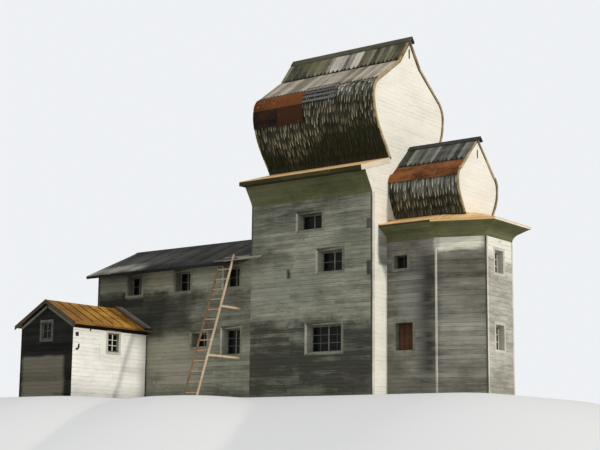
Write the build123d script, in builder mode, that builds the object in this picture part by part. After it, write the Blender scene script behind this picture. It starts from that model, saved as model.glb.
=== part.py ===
from build123d import *
from collections import namedtuple
from math import cos, hypot, radians, sin, tan
import os

os.makedirs("parts", exist_ok=True)

# A timber church of two storeys, in millimetres. East is +X, north is +Y, up is +Z.
# Lengths along the church are taken from the middle of the tower, widths from its east-west axis.

# Walls of the whole church
log_wall = 450
gable_wall = 160

# Tower. Its flares leave the wall in a short curve and then rise straight to the skirt roofs
tower_length = 6800
tower_width = 6190
flare_start = 8970
flare_curve = 200
flare_pitch = 57
flare_reach = 665
tower_skirt_reach = 965
tower_skirt_depth = 75
fascia_depth = 200
skirt_end_overhang = 45

# Barrel roof of the tower, half of its keel shaped section. The neck's height is above the flares'
# foot, and the others are above the neck
neck_half = 1700
neck_rise = 1820
neck_lean = 58
bulge_half = 3010
bulge_rise = 2730
lower_boards_half = 2570
lower_boards_rise = 3585
upper_boards_half = 925
upper_boards_rise = 4810
ridge_rise = 6050
shell_thickness = 90
verge_overhang = 45
roof_board = 45
ridge_board_width = 190
ridge_board_thickness = 40
ridge_board_tip = 160

# Apse, five walls closing the east end. Its side walls stand in from the tower's by the step
apse_step = 1195
apse_straight = 2540
apse_length = 4605
apse_east_half = 1175
apse_flare_start = 6840
apse_flare_curve = 400
apse_flare_pitch = 30
apse_flare_reach = 660
apse_skirt_reach = 715
apse_skirt_depth = 105

# Barrel roof of the apse, with its heights given as the tower's are
apse_barrel_length = 3560
apse_neck_half = 1220
apse_neck_rise = 1140
apse_neck_lean = 67
apse_bulge_half = 1770
apse_bulge_rise = 1440
apse_shoulder_half = 1545
apse_shoulder_rise = 1970
apse_deck_rise = 3487
apse_boards_half = 1000

# Refectory
refectory_length = 10100
eave_overhang = 610
eave_height = 6370
refectory_ridge = 8050
gable_overhang = 290
roof_thickness = 90

# Porch on the south side, at the west end of the refectory
porch_length = 4980
porch_width = 3540
porch_wall = 140
porch_eave_overhang = 315
porch_eave_height = 3420
porch_ridge = 4600
porch_gable_overhang = 165
porch_roof_thickness = 60
rear_roof_length = 540
rear_roof_raise = 110
barge_board_depth = 190
barge_board_thickness = 30

# Floors
ground_floor_top = 600
upper_floor_top = 4300
floor_thickness = 150

# Doorways
inner_door_width = 1400
inner_door_height = 2150
porch_arch_width = 1000
porch_arch_start = 700
porch_arch_height = 2150
entry_from_wall = 2505
entry_width = 1000
entry_height = 2000
door_thickness = 50

# Windows: middle and width along the wall, sill and height, all over the outer casing. Middles are
# from the tower's middle, its west wall for the refectory, its east wall for the apse's sides, the
# refectory's west wall for the porch's gable and the south wall for the porch's side
Window = namedtuple("Window", "middle width sill height")
low_tower_window = Window(830, 2130, 1870, 1455)
middle_tower_window = Window(1135, 1595, 5470, 1190)
high_tower_window = Window(0, 1600, 7470, 985)
low_refectory_window = Window(-1150, 1345, 1955, 1460)
small_refectory_window = Window(-3145, 1210, 2390, 910)
upper_width = 1220
upper_sill = 5150
upper_height = 1205
east_upper_window = Window(-1180, upper_width, upper_sill, upper_height)
middle_upper_window = Window(-4280, upper_width, upper_sill, upper_height)
west_upper_window = Window(-7530, upper_width, upper_sill, upper_height)
low_apse_window = Window(905, 1130, 1880, 1460)
upper_apse_window = Window(730, 940, 5490, 840)
low_east_window = Window(-75, 990, 1860, 1330)
upper_east_window = Window(-75, 990, 5200, 1250)
low_west_sill = 1900
west_window_side = 1500
porch_gable_window = Window(1750, 900, 2620, 1030)
porch_side_window = Window(-2355, 970, 2110, 1145)
casing_width = 100
casing_proud = 25
lining = 25
sash_width = 60
sash_depth = 60
mullion = 60
glass_setback = 400
apse_glass_setback = 290
porch_glass_setback = 90
glass_thickness = 6

# Ladder standing against the south eave, its west rail broken off short. Its upper ends and its
# top rung are placed from the eave
ladder_from_tower = 1000
ladder_width = 820
ladder_foot = 2300
east_rail_rise = 330
west_rail_short = 250
rail_width = 60
rail_depth = 90
rung_size = 45
rung_spacing = 485
top_rung_short = 375
rung_clear = 150
brace_depth = 100
brace_thickness = 40
brace_heights = (1890, 4200)
touch = 0.3

# Places worked out from the sizes above
half_length = tower_length / 2
half_width = tower_width / 2
apse_half = half_width - apse_step
refectory_west = -half_length - refectory_length
porch_east = refectory_west + porch_width
porch_middle = (refectory_west + porch_east) / 2
porch_south = -half_width - porch_length
apse_east = half_length + apse_length
apse_corner = half_length + apse_straight
gable_face = half_length + apse_barrel_length
eave_y = -half_width - eave_overhang
refectory_slope = (refectory_ridge - eave_height) / (half_width + eave_overhang)
porch_half = porch_width / 2 + porch_eave_overhang
porch_slope = (porch_ridge - porch_eave_height) / porch_half
neck_height = flare_start + neck_rise
bulge_height = neck_height + bulge_rise
upper_boards_height = neck_height + upper_boards_rise
ridge_height = neck_height + ridge_rise
apse_neck_height = apse_flare_start + apse_neck_rise
apse_bulge_height = apse_neck_height + apse_bulge_rise
apse_shoulder_height = apse_neck_height + apse_shoulder_rise
apse_deck_height = apse_neck_height + apse_deck_rise
refectory_roof_drop = roof_thickness * hypot(1, refectory_slope)
porch_roof_drop = porch_roof_thickness * hypot(1, porch_slope)
inner_half_width = half_width - log_wall
inner_west = refectory_west + log_wall
porch_floor_top = ground_floor_top - floor_thickness
porch_arch_west = refectory_west + porch_arch_start
entry_middle = -half_width - entry_from_wall
ladder_middle = -half_length - ladder_from_tower

# The origin is under the middle of the whole building's box
west_end = min(refectory_west - gable_overhang, porch_middle - porch_half)
east_end = apse_east + apse_skirt_reach
south_end = porch_south - porch_gable_overhang - barge_board_thickness
north_end = half_width + tower_skirt_reach
site_x = -(west_end + east_end) / 2
site_y = -(south_end + north_end) / 2


def level(z):
    """A horizontal plane at height z."""
    return Plane(origin=(site_x, site_y, z))


def facing_south(y):
    """An upright plane, drawn east and up; a positive extrusion goes south."""
    return Plane(origin=(site_x, site_y + y, 0), x_dir=(1, 0, 0), z_dir=(0, -1, 0))


def facing_east(x):
    """An upright plane, drawn north and up; a positive extrusion goes east."""
    return Plane(origin=(site_x + x, site_y, 0), x_dir=(0, 1, 0), z_dir=(1, 0, 0))


def rectangle(a0, a1, b0, b1, mode=Mode.ADD):
    """A rectangle between two values of each drawing direction."""
    with Locations(((a0 + a1) / 2, (b0 + b1) / 2)):
        Rectangle(a1 - a0, b1 - b0, mode=mode)


def outline(points, mode=Mode.ADD):
    """A closed straight-sided outline, given in the drawing's own directions."""
    with BuildLine() as edge:
        Polyline(*points, close=True)
    make_face(edge.edges(), mode=mode)


def opening_of(window):
    """The low and high edges of the hole inside a window's casing."""
    half = window.width / 2 - casing_width
    return (
        window.middle - half,
        window.middle + half,
        window.sill + casing_width,
        window.sill + window.height - casing_width,
    )


def window_holes(windows):
    """Cuts the window holes out of a wall's sketch."""
    for window in windows:
        rectangle(*opening_of(window), mode=Mode.SUBTRACT)


def window_frame(window, plane, setback):
    """Casing on the wall, lining of the reveal, sash and mullion of one window."""
    a0, a1, b0, b1 = opening_of(window)
    sash = lining + sash_width
    with BuildSketch(plane) as casing:
        rectangle(a0 - casing_width, a1 + casing_width, b0 - casing_width, b1 + casing_width)
        rectangle(a0 + lining, a1 - lining, b0 + lining, b1 - lining, mode=Mode.SUBTRACT)
    extrude(casing.sketch, amount=casing_proud)
    with BuildSketch(plane) as reveal:
        rectangle(a0, a1, b0, b1)
        rectangle(a0 + lining, a1 - lining, b0 + lining, b1 - lining, mode=Mode.SUBTRACT)
    extrude(reveal.sketch, amount=-(setback + sash_depth / 2))
    with BuildSketch(plane.offset(-setback)) as ring:
        rectangle(a0, a1, b0, b1)
        rectangle(a0 + sash, a1 - sash, b0 + sash, b1 - sash, mode=Mode.SUBTRACT)
    extrude(ring.sketch, amount=sash_depth / 2, both=True)
    with BuildSketch(plane.offset(-setback)) as bar:
        rectangle(window.middle - mullion / 2, window.middle + mullion / 2, b0 + lining, b1 - lining)
    extrude(bar.sketch, amount=sash_depth / 2)


def window_pane(window, plane, setback):
    """The glass behind a window's mullion."""
    a0, a1, b0, b1 = opening_of(window)
    sash = lining + sash_width
    with BuildSketch(plane.offset(-setback)) as pane:
        rectangle(a0 + sash, a1 - sash, b0 + sash, b1 - sash)
    extrude(pane.sketch, amount=-glass_thickness)


def meet(a, b, c, d):
    """Where the line through a and b crosses the line through c and d."""
    ux, uy = b[0] - a[0], b[1] - a[1]
    vx, vy = d[0] - c[0], d[1] - c[1]
    along = ((c[0] - a[0]) * vy - (c[1] - a[1]) * vx) / (ux * vy - uy * vx)
    return (a[0] + ux * along, a[1] + uy * along)


def flare_bend(curve, pitch):
    """Where a flare's curve off the wall ends: how far out and how far up."""
    turn = radians(90 - pitch)
    return curve * (1 - cos(turn)), curve * sin(turn)


def flare_rise(reach, curve, pitch):
    """How far above its foot a flare is where it has come out by reach."""
    out, up = flare_bend(curve, pitch)
    return up + (reach - out) * tan(radians(pitch))


def inward(a, b, depth):
    """The points a and b of a roof line that rises towards the ridge, moved in by depth."""
    run, rise = a[0] - b[0], b[1] - a[1]
    length = hypot(run, rise)
    dx, dy = rise / length * depth, run / length * depth
    return (a[0] - dx, a[1] - dy), (b[0] - dx, b[1] - dy)


def keel(neck, lean, bulge, deck, foot, inset):
    """A keel section: flank, shoulder and the deck's lines up to the ridge, smaller by inset."""
    lines = [inward(low, high, inset) for low, high in zip(deck, deck[1:])]
    corners = [meet(*low, *high) for low, high in zip(lines, lines[1:])]
    top = meet((0, 0), (0, 1), *lines[-1])
    low_neck = (neck[0] - inset / sin(radians(lean)), neck[1])
    with BuildLine() as half:
        Spline(
            low_neck,
            (bulge[0] - inset, bulge[1]),
            tangents=((cos(radians(lean)), sin(radians(lean))), (0, 1)),
        )
        TangentArc((bulge[0] - inset, bulge[1]), lines[0][0], tangent=(0, 1))
        Polyline(lines[0][0], *corners, top, (0, foot), (low_neck[0], foot), low_neck)
    make_face(half.edges())
    mirror(about=Plane.YZ)


# A skirt roof lies on its flare's top and runs from its eave up to the barrel's neck
tower_flare_top = flare_start + flare_rise(flare_reach, flare_curve, flare_pitch)
tower_skirt_slope = (neck_height - tower_flare_top - tower_skirt_depth) / (
    half_width + flare_reach - neck_half
)
tower_skirt_edge = neck_height - tower_skirt_slope * (half_width + tower_skirt_reach - neck_half)
soffit_height = tower_skirt_edge - fascia_depth
flare_out, flare_up = flare_bend(flare_curve, flare_pitch)
soffit_reach = flare_out + (soffit_height - flare_start - flare_up) / tan(radians(flare_pitch))
apse_flare_top = apse_flare_start + flare_rise(apse_flare_reach, apse_flare_curve, apse_flare_pitch)
apse_roof_pitch = (apse_neck_height - apse_flare_top - apse_skirt_depth) / (
    apse_half + apse_flare_reach - apse_neck_half
)
apse_skirt_edge = apse_neck_height - apse_roof_pitch * (apse_half + apse_skirt_reach - apse_neck_half)

# The tower's roof boards: outer edges of both tiers, and the deck that they lie on
lower_edge = (lower_boards_half, neck_height + lower_boards_rise)
upper_edge = (upper_boards_half, upper_boards_height)
tower_top = (0, ridge_height)
upper_inner = inward(upper_edge, tower_top, roof_board)[0]
upper_deck = inward(upper_edge, tower_top, 2 * roof_board)
lower_deck = inward(lower_edge, upper_inner, roof_board)
deck_corner = meet(*lower_deck, *upper_deck)
deck_top = meet((0, 0), (0, 1), *upper_deck)

# The apse's roof boards lie on one straight deck from shoulder to ridge
apse_shoulder = (apse_shoulder_half, apse_shoulder_height)
apse_deck_top = (0, apse_deck_height)


def tower_keel(inset):
    """The tower's barrel section under its roof boards."""
    keel(
        (neck_half, neck_height),
        neck_lean,
        (bulge_half, bulge_height),
        [lower_deck[0], deck_corner, deck_top],
        neck_height - tower_skirt_depth,
        inset,
    )


def apse_keel(inset):
    """The apse's barrel section under its roof boards."""
    keel(
        (apse_neck_half, apse_neck_height),
        apse_neck_lean,
        (apse_bulge_half, apse_bulge_height),
        [apse_shoulder, apse_deck_top],
        apse_neck_height - apse_skirt_depth,
        inset,
    )


def mitre(before, corner, after, reach):
    """A corner of an outline drawn anticlockwise, moved outwards by reach from both its edges."""
    ax, ay = corner[0] - before[0], corner[1] - before[1]
    bx, by = after[0] - corner[0], after[1] - corner[1]
    al, bl = hypot(ax, ay), hypot(bx, by)
    n1 = (ay / al, -ax / al)
    n2 = (by / bl, -bx / bl)
    share = reach / (1 + n1[0] * n2[0] + n1[1] * n2[1])
    return (corner[0] + (n1[0] + n2[0]) * share, corner[1] + (n1[1] + n2[1]) * share)


def apse_outline(reach):
    """The apse's plan from south-west to north-west, moved outwards by reach."""
    start = (half_length, -apse_half)
    south = (apse_corner, -apse_half)
    south_east = (apse_east, -apse_east_half)
    north_east = (apse_east, apse_east_half)
    north = (apse_corner, apse_half)
    end = (half_length, apse_half)
    return [
        (half_length, -apse_half - reach),
        mitre(start, south, south_east, reach),
        mitre(south, south_east, north_east, reach),
        mitre(south_east, north_east, north, reach),
        mitre(north_east, north, end, reach),
        (half_length, apse_half + reach),
    ]


def slope_under(y):
    """Height of the refectory roof's underside at a distance from the axis."""
    return refectory_ridge - refectory_roof_drop - abs(y) * refectory_slope


def porch_under(x):
    """Height of the porch roof's underside at a place along the church."""
    return porch_ridge - porch_roof_drop - abs(x - porch_middle) * porch_slope


def ridge_cap(slope, top):
    """Two ridge boards leaning together over a ridge."""
    fall = ridge_board_width * slope
    outline(
        [
            (0, top),
            (ridge_board_width, top - fall),
            (ridge_board_width, top - fall + ridge_board_thickness * hypot(1, slope)),
            (0, top + ridge_board_thickness * hypot(1, slope)),
        ]
    )
    mirror(about=Plane.YZ)


def finish(piece, label):
    """Names a piece and writes its file."""
    piece.part.label = label
    export_step(piece.part, f"parts/{label}.step")


def from_wall(windows, wall):
    """Windows placed from the wall that their middles are given from."""
    return [window._replace(middle=window.middle + wall) for window in windows]


axis_plane = Plane(origin=(site_x, site_y, 0), z_dir=(0, 1, 0))
tower_windows = [low_tower_window, middle_tower_window, high_tower_window]
refectory_windows = from_wall(
    [
        low_refectory_window,
        small_refectory_window,
        east_upper_window,
        middle_upper_window,
        west_upper_window,
    ],
    -half_length,
)
west_wall_windows = [
    Window(side * west_window_side, upper_width, sill, upper_height)
    for side in (-1, 1)
    for sill in (low_west_sill, upper_sill)
]

# Tower walls
with BuildPart() as tower_south_wall:
    with BuildSketch(facing_south(-inner_half_width)):
        rectangle(-half_length, half_length, 0, flare_start)
        window_holes(tower_windows)
    extrude(amount=log_wall)

with BuildPart() as tower_north_wall:
    with BuildSketch(facing_south(half_width)):
        rectangle(-half_length, half_length, 0, flare_start)
        window_holes(tower_windows)
    extrude(amount=log_wall)


def tower_cross_wall(x):
    """A wall between the tower's long walls, with a doorway on each storey."""
    door = inner_door_width / 2
    with BuildSketch(facing_east(x)) as face:
        rectangle(-inner_half_width, inner_half_width, 0, flare_start)
        rectangle(-door, door, 0, ground_floor_top + inner_door_height, mode=Mode.SUBTRACT)
        rectangle(
            -door,
            door,
            upper_floor_top - floor_thickness,
            upper_floor_top + inner_door_height,
            mode=Mode.SUBTRACT,
        )
    extrude(face.sketch, amount=log_wall)


with BuildPart() as tower_east_wall:
    tower_cross_wall(half_length - log_wall)

with BuildPart() as tower_west_wall:
    tower_cross_wall(-half_length)


def tower_gable(x):
    """One flat end wall above the flares' foot, up into the barrel roof."""
    bend = (half_width + flare_out, flare_start + flare_up)
    under_neck = neck_height - tower_skirt_depth
    with BuildSketch(facing_east(x)) as face:
        with BuildLine() as half:
            TangentArc((half_width, flare_start), bend, tangent=(0, 1))
            Polyline(
                bend,
                (half_width + flare_reach, tower_flare_top),
                (neck_half, under_neck),
                (0, under_neck),
                (0, flare_start),
                (half_width, flare_start),
            )
        make_face(half.edges())
        mirror(about=Plane.YZ)
        tower_keel(shell_thickness)
    extrude(face.sketch, amount=gable_wall)


with BuildPart() as tower_east_gable:
    tower_gable(half_length - gable_wall)

with BuildPart() as tower_west_gable:
    tower_gable(-half_length)

# Flares along the south and north walls, leaning outwards under the skirt roofs
with BuildPart() as tower_flares:
    with BuildSketch(facing_east(-half_length + gable_wall)):
        outer_bend = (half_width + flare_out, flare_start + flare_up)
        inner_bend = (inner_half_width + flare_out, flare_start + flare_up)
        outer_top = (half_width + flare_reach, tower_flare_top)
        inner_top = (inner_half_width + flare_reach, tower_flare_top + log_wall * tower_skirt_slope)
        with BuildLine():
            TangentArc((half_width, flare_start), outer_bend, tangent=(0, 1))
            Polyline(outer_bend, outer_top, inner_top, inner_bend)
            TangentArc((inner_half_width, flare_start), inner_bend, tangent=(0, 1))
            Line((inner_half_width, flare_start), (half_width, flare_start))
        make_face()
        mirror(about=Plane.YZ)
    extrude(amount=tower_length - 2 * gable_wall)

# Skirt roofs over the flares, their eaves boxed in between a deep fascia and the flare
with BuildPart() as tower_skirt_roofs:
    with BuildSketch(facing_east(-half_length - skirt_end_overhang)):
        edge = half_width + tower_skirt_reach
        outline(
            [
                (edge, tower_skirt_edge),
                (neck_half, neck_height),
                (neck_half, neck_height - tower_skirt_depth),
                (half_width + flare_reach, tower_flare_top),
                (half_width + soffit_reach, soffit_height),
                (edge, soffit_height),
            ]
        )
        mirror(about=Plane.YZ)
    extrude(amount=tower_length + 2 * skirt_end_overhang)

# Barrel roof, a keel shaped shell over the two gables
with BuildPart() as tower_barrel_roof:
    with BuildSketch(facing_east(-half_length - verge_overhang)):
        tower_keel(0)
    extrude(amount=tower_length + 2 * verge_overhang)
    with BuildSketch(facing_east(-half_length - verge_overhang)):
        tower_keel(shell_thickness)
    extrude(amount=tower_length + 2 * verge_overhang, mode=Mode.SUBTRACT)

# Crown boards in two tiers, the upper one lapping over the lower
with BuildPart() as tower_crown_boards:
    with BuildSketch(facing_east(-half_length - verge_overhang)):
        outline(
            [lower_edge, upper_inner, upper_edge, tower_top, deck_top, deck_corner, lower_deck[0]]
        )
        mirror(about=Plane.YZ)
    extrude(amount=tower_length + 2 * verge_overhang)

with BuildPart() as tower_ridge_board:
    with BuildSketch(facing_east(-half_length - verge_overhang)):
        ridge_cap((ridge_height - upper_boards_height) / upper_boards_half, ridge_height)
    extrude(amount=tower_length + 2 * verge_overhang + ridge_board_tip)

with BuildPart() as tower_ceiling:
    with BuildSketch(level(flare_start - floor_thickness)):
        rectangle(
            -half_length + log_wall, half_length - log_wall, -inner_half_width, inner_half_width
        )
    extrude(amount=floor_thickness)

# Apse walls
outer_corners = apse_outline(0)
inner_corners = apse_outline(-log_wall)


def apse_wall(side):
    """The body of one of the apse's five walls, mitred at its corners."""
    with BuildSketch(level(0)) as plan:
        outline(
            [
                outer_corners[side],
                outer_corners[side + 1],
                inner_corners[side + 1],
                inner_corners[side],
            ]
        )
    extrude(plan.sketch, amount=apse_flare_start)


apse_side_windows = from_wall([low_apse_window, upper_apse_window], half_length)
apse_east_windows = [low_east_window, upper_east_window]


def cut_holes(windows, plane, depth):
    """Cuts window holes through a wall behind its outer face."""
    with BuildSketch(plane) as holes:
        for window in windows:
            rectangle(*opening_of(window))
    extrude(holes.sketch, amount=-depth, mode=Mode.SUBTRACT)


with BuildPart() as apse_south_wall:
    apse_wall(0)
    cut_holes(apse_side_windows, facing_south(-apse_half), log_wall)

with BuildPart() as apse_southeast_wall:
    apse_wall(1)

with BuildPart() as apse_east_wall:
    apse_wall(2)
    cut_holes(apse_east_windows, facing_east(apse_east), log_wall)

with BuildPart() as apse_northeast_wall:
    apse_wall(3)

with BuildPart() as apse_north_wall:
    apse_wall(4)
    cut_holes(apse_side_windows, facing_south(apse_half), -log_wall)

# Flare round the apse, drawn at a few levels up its curve and then straight to its top
curve_steps = 4
flare_levels = [
    flare_bend(apse_flare_curve, 90 - (90 - apse_flare_pitch) * step / curve_steps)
    for step in range(curve_steps + 1)
]
flare_levels.append((apse_flare_reach, apse_flare_top - apse_flare_start))
with BuildPart() as apse_flare:
    for inset, mode in ((0, Mode.ADD), (log_wall, Mode.SUBTRACT)):
        sections = []
        for reach, rise in flare_levels:
            with BuildSketch(level(apse_flare_start + rise), mode=Mode.PRIVATE) as section:
                outline(apse_outline(reach - inset))
            sections.append(section.sketch)
        loft(sections, ruled=True, mode=mode)

# Hipped skirt roof of the apse, drawn a little way past the barrel roof that it is then cut away for
apse_hip_run = shell_thickness + apse_skirt_reach + max(apse_half - apse_neck_half, apse_east - gable_face)
with BuildPart() as apse_skirt_roof:
    for drop, mode in ((0, Mode.ADD), (apse_skirt_depth, Mode.SUBTRACT)):
        sections = []
        for run in (0, apse_hip_run):
            height = apse_skirt_edge + run * apse_roof_pitch - drop
            with BuildSketch(level(height), mode=Mode.PRIVATE) as section:
                outline(apse_outline(apse_skirt_reach - run))
            sections.append(section.sketch)
        loft(sections, ruled=True, mode=mode)
    with BuildSketch(level(apse_skirt_edge - apse_skirt_depth)):
        rectangle(half_length, gable_face, -apse_neck_half, apse_neck_half)
        for side in (-1, 1):
            inner = side * (apse_neck_half - shell_thickness / sin(radians(apse_neck_lean)))
            outer = side * apse_neck_half
            rectangle(gable_face, gable_face + verge_overhang, min(inner, outer), max(inner, outer))
    extrude(amount=apse_hip_run, mode=Mode.SUBTRACT)

# Barrel roof of the apse
with BuildPart() as apse_barrel_roof:
    with BuildSketch(facing_east(half_length)):
        apse_keel(0)
    extrude(amount=apse_barrel_length + verge_overhang)
    with BuildSketch(facing_east(half_length)):
        apse_keel(shell_thickness)
    extrude(amount=apse_barrel_length + verge_overhang, mode=Mode.SUBTRACT)

with BuildPart() as apse_gable:
    with BuildSketch(facing_east(gable_face - gable_wall)):
        apse_keel(shell_thickness)
    extrude(amount=gable_wall)

with BuildPart() as apse_crown_boards:
    deck_slope = (apse_deck_top[1] - apse_shoulder_height) / apse_shoulder_half
    low = (apse_boards_half, apse_deck_top[1] - apse_boards_half * deck_slope)
    lift = roof_board * hypot(1, deck_slope)
    with BuildSketch(facing_east(half_length)):
        outline([low, (low[0], low[1] + lift), (0, apse_deck_top[1] + lift), apse_deck_top])
        mirror(about=Plane.YZ)
    extrude(amount=apse_barrel_length + verge_overhang)

with BuildPart() as apse_ridge_board:
    with BuildSketch(facing_east(half_length)):
        ridge_cap(deck_slope, apse_deck_top[1] + lift)
    extrude(amount=apse_barrel_length + verge_overhang + ridge_board_tip)

# Refectory walls; the long walls are cut along the roof
def refectory_long_wall(west, east):
    """A stretch of the refectory's south wall, from one place along the church to another."""
    with BuildSketch(facing_east(west)) as section:
        outline(
            [
                (-half_width, 0),
                (-half_width, slope_under(half_width)),
                (-inner_half_width, slope_under(inner_half_width)),
                (-inner_half_width, 0),
            ]
        )
    extrude(section.sketch, amount=east - west)


porch_arch_east = porch_arch_west + porch_arch_width
arch_top = ground_floor_top + porch_arch_height

with BuildPart() as refectory_south_wall:
    refectory_long_wall(porch_arch_east, -half_length)
    cut_holes(refectory_windows, facing_south(-half_width), log_wall)

with BuildPart() as refectory_south_wall_west_end:
    refectory_long_wall(refectory_west, porch_arch_east)
    with BuildSketch(facing_south(-half_width)):
        rectangle(porch_arch_west, porch_arch_east, 0, arch_top)
    extrude(amount=-log_wall, mode=Mode.SUBTRACT)

with BuildPart() as refectory_north_wall:
    refectory_long_wall(refectory_west, -half_length)
    cut_holes(refectory_windows, facing_south(-half_width), log_wall)
    mirror(about=axis_plane, mode=Mode.REPLACE)

with BuildPart() as refectory_west_wall:
    with BuildSketch(facing_east(refectory_west)):
        outline(
            [
                (-inner_half_width, 0),
                (-inner_half_width, slope_under(inner_half_width)),
                (0, slope_under(0)),
                (inner_half_width, slope_under(inner_half_width)),
                (inner_half_width, 0),
            ]
        )
        window_holes(west_wall_windows)
    extrude(amount=log_wall)


def refectory_slope_section(side):
    """Section of one roof slope."""
    edge = side * (half_width + eave_overhang)
    outline(
        [
            (edge, eave_height),
            (0, refectory_ridge),
            (0, refectory_ridge - refectory_roof_drop),
            (edge, eave_height - refectory_roof_drop),
        ]
    )


with BuildPart() as refectory_south_roof:
    with BuildSketch(facing_east(refectory_west - gable_overhang)):
        refectory_slope_section(-1)
    extrude(amount=refectory_length + gable_overhang)

with BuildPart() as refectory_north_roof:
    with BuildSketch(facing_east(refectory_west - gable_overhang)):
        refectory_slope_section(1)
    extrude(amount=refectory_length + gable_overhang)

with BuildPart() as refectory_ridge_board:
    with BuildSketch(facing_east(refectory_west - gable_overhang)):
        ridge_cap(refectory_slope, refectory_ridge)
    extrude(amount=refectory_length + gable_overhang)


def storey_floor(top, arch):
    """One floor through the refectory, the tower and the apse, joined in their doorways."""
    door = inner_door_width / 2
    with BuildSketch(level(top - floor_thickness)) as plan:
        rectangle(inner_west, -half_length, -inner_half_width, inner_half_width)
        rectangle(
            -half_length + log_wall, half_length - log_wall, -inner_half_width, inner_half_width
        )
        rectangle(-half_length, half_length, -door, door)
        outline(inner_corners)
        if arch:
            rectangle(porch_arch_west, porch_arch_east, -half_width, -inner_half_width)
    extrude(plan.sketch, amount=floor_thickness)


with BuildPart() as ground_floor:
    storey_floor(ground_floor_top, True)

with BuildPart() as upper_floor:
    storey_floor(upper_floor_top, False)

# Porch
porch_gable_windows = from_wall([porch_gable_window], refectory_west)
porch_side_windows = from_wall([porch_side_window], -half_width)
with BuildPart() as porch_south_wall:
    with BuildSketch(facing_south(porch_south + porch_wall)):
        outline(
            [
                (refectory_west, 0),
                (porch_east, 0),
                (porch_east, porch_under(porch_east)),
                (porch_middle, porch_under(porch_middle)),
                (refectory_west, porch_under(refectory_west)),
            ]
        )
        window_holes(porch_gable_windows)
    extrude(amount=porch_wall)


def porch_long_wall(outer, inner):
    """A wall of the porch that runs north to the refectory, cut along the roof."""
    with BuildSketch(facing_south(-half_width)) as section:
        outline(
            [(outer, 0), (outer, porch_under(outer)), (inner, porch_under(inner)), (inner, 0)]
        )
    extrude(section.sketch, amount=porch_length - porch_wall)


with BuildPart() as porch_east_wall:
    porch_long_wall(porch_east, porch_east - porch_wall)
    cut_holes(porch_side_windows, facing_east(porch_east), porch_wall)

with BuildPart() as porch_west_wall:
    porch_long_wall(refectory_west, refectory_west + porch_wall)
    with BuildSketch(facing_east(refectory_west)):
        rectangle(
            entry_middle - entry_width / 2,
            entry_middle + entry_width / 2,
            porch_floor_top,
            porch_floor_top + entry_height,
        )
    extrude(amount=porch_wall, mode=Mode.SUBTRACT)

with BuildPart() as porch_door:
    with BuildSketch(facing_east(refectory_west + porch_wall / 2)):
        rectangle(
            entry_middle - entry_width / 2,
            entry_middle + entry_width / 2,
            porch_floor_top,
            porch_floor_top + entry_height,
        )
    extrude(amount=door_thickness / 2, both=True)

with BuildPart() as porch_floor:
    with BuildSketch(level(porch_floor_top - floor_thickness)):
        rectangle(
            refectory_west + porch_wall,
            porch_east - porch_wall,
            porch_south + porch_wall,
            -half_width,
        )
    extrude(amount=floor_thickness)


def porch_roof_section(lift, depth):
    """A gable roof's section over the porch, lifted off the roof line and this deep."""
    west = porch_middle - porch_half
    east = porch_middle + porch_half
    outline(
        [
            (west, porch_eave_height + lift),
            (porch_middle, porch_ridge + lift),
            (east, porch_eave_height + lift),
            (east, porch_eave_height + lift - depth),
            (porch_middle, porch_ridge + lift - depth),
            (west, porch_eave_height + lift - depth),
        ]
    )


with BuildPart() as porch_metal_roof:
    with BuildSketch(facing_south(-half_width)):
        porch_roof_section(0, porch_roof_drop)
    extrude(amount=porch_length + porch_gable_overhang)

with BuildPart() as porch_rear_roof:
    with BuildSketch(facing_south(-half_width)):
        porch_roof_section(rear_roof_raise, rear_roof_raise)
    extrude(amount=rear_roof_length)

with BuildPart() as porch_barge_boards:
    with BuildSketch(facing_south(porch_south - porch_gable_overhang)):
        porch_roof_section(porch_roof_drop / 3, barge_board_depth)
    extrude(amount=barge_board_thickness)

# Windows
main_windows = tower_windows + refectory_windows
main_plane = facing_south(-half_width)
west_plane = Plane(
    origin=(site_x + refectory_west, site_y, 0), x_dir=(0, -1, 0), z_dir=(-1, 0, 0)
)

with BuildPart() as main_window_frames:
    for window in main_windows:
        window_frame(window, main_plane, glass_setback)
    mirror(about=axis_plane)
    for window in west_wall_windows:
        window_frame(window, west_plane, glass_setback)

with BuildPart() as main_window_glass:
    for window in main_windows:
        window_pane(window, main_plane, glass_setback)
    mirror(about=axis_plane)
    for window in west_wall_windows:
        window_pane(window, west_plane, glass_setback)

apse_side_plane = facing_south(-apse_half)
apse_east_plane = facing_east(apse_east)

with BuildPart() as apse_window_frames:
    for window in apse_side_windows:
        window_frame(window, apse_side_plane, apse_glass_setback)
    mirror(about=axis_plane)
    for window in apse_east_windows:
        window_frame(window, apse_east_plane, apse_glass_setback)

with BuildPart() as apse_window_glass:
    window_pane(apse_side_windows[1], apse_side_plane, apse_glass_setback)
    mirror(about=axis_plane)
    for window in apse_east_windows:
        window_pane(window, apse_east_plane, apse_glass_setback)

with BuildPart() as apse_shutters:
    window_pane(apse_side_windows[0], apse_side_plane, apse_glass_setback)
    mirror(about=axis_plane)

with BuildPart() as porch_window_frames:
    window_frame(*porch_gable_windows, facing_south(porch_south), porch_glass_setback)
    window_frame(*porch_side_windows, facing_east(porch_east), porch_glass_setback)

with BuildPart() as porch_window_glass:
    window_pane(*porch_gable_windows, facing_south(porch_south), porch_glass_setback)
    window_pane(*porch_side_windows, facing_east(porch_east), porch_glass_setback)

# Ladder: two rails, its rungs, and braces back to the wall, in one frame
ladder_lean = ladder_foot / eave_height
top_rung = eave_height - top_rung_short
rail_tops = ((-1, eave_height - west_rail_short), (1, eave_height + east_rail_rise))


def rail_inner(z):
    """How far along the width the ladder's north edge is, at height z."""
    return eave_y - touch - (eave_height - z) * ladder_lean


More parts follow.
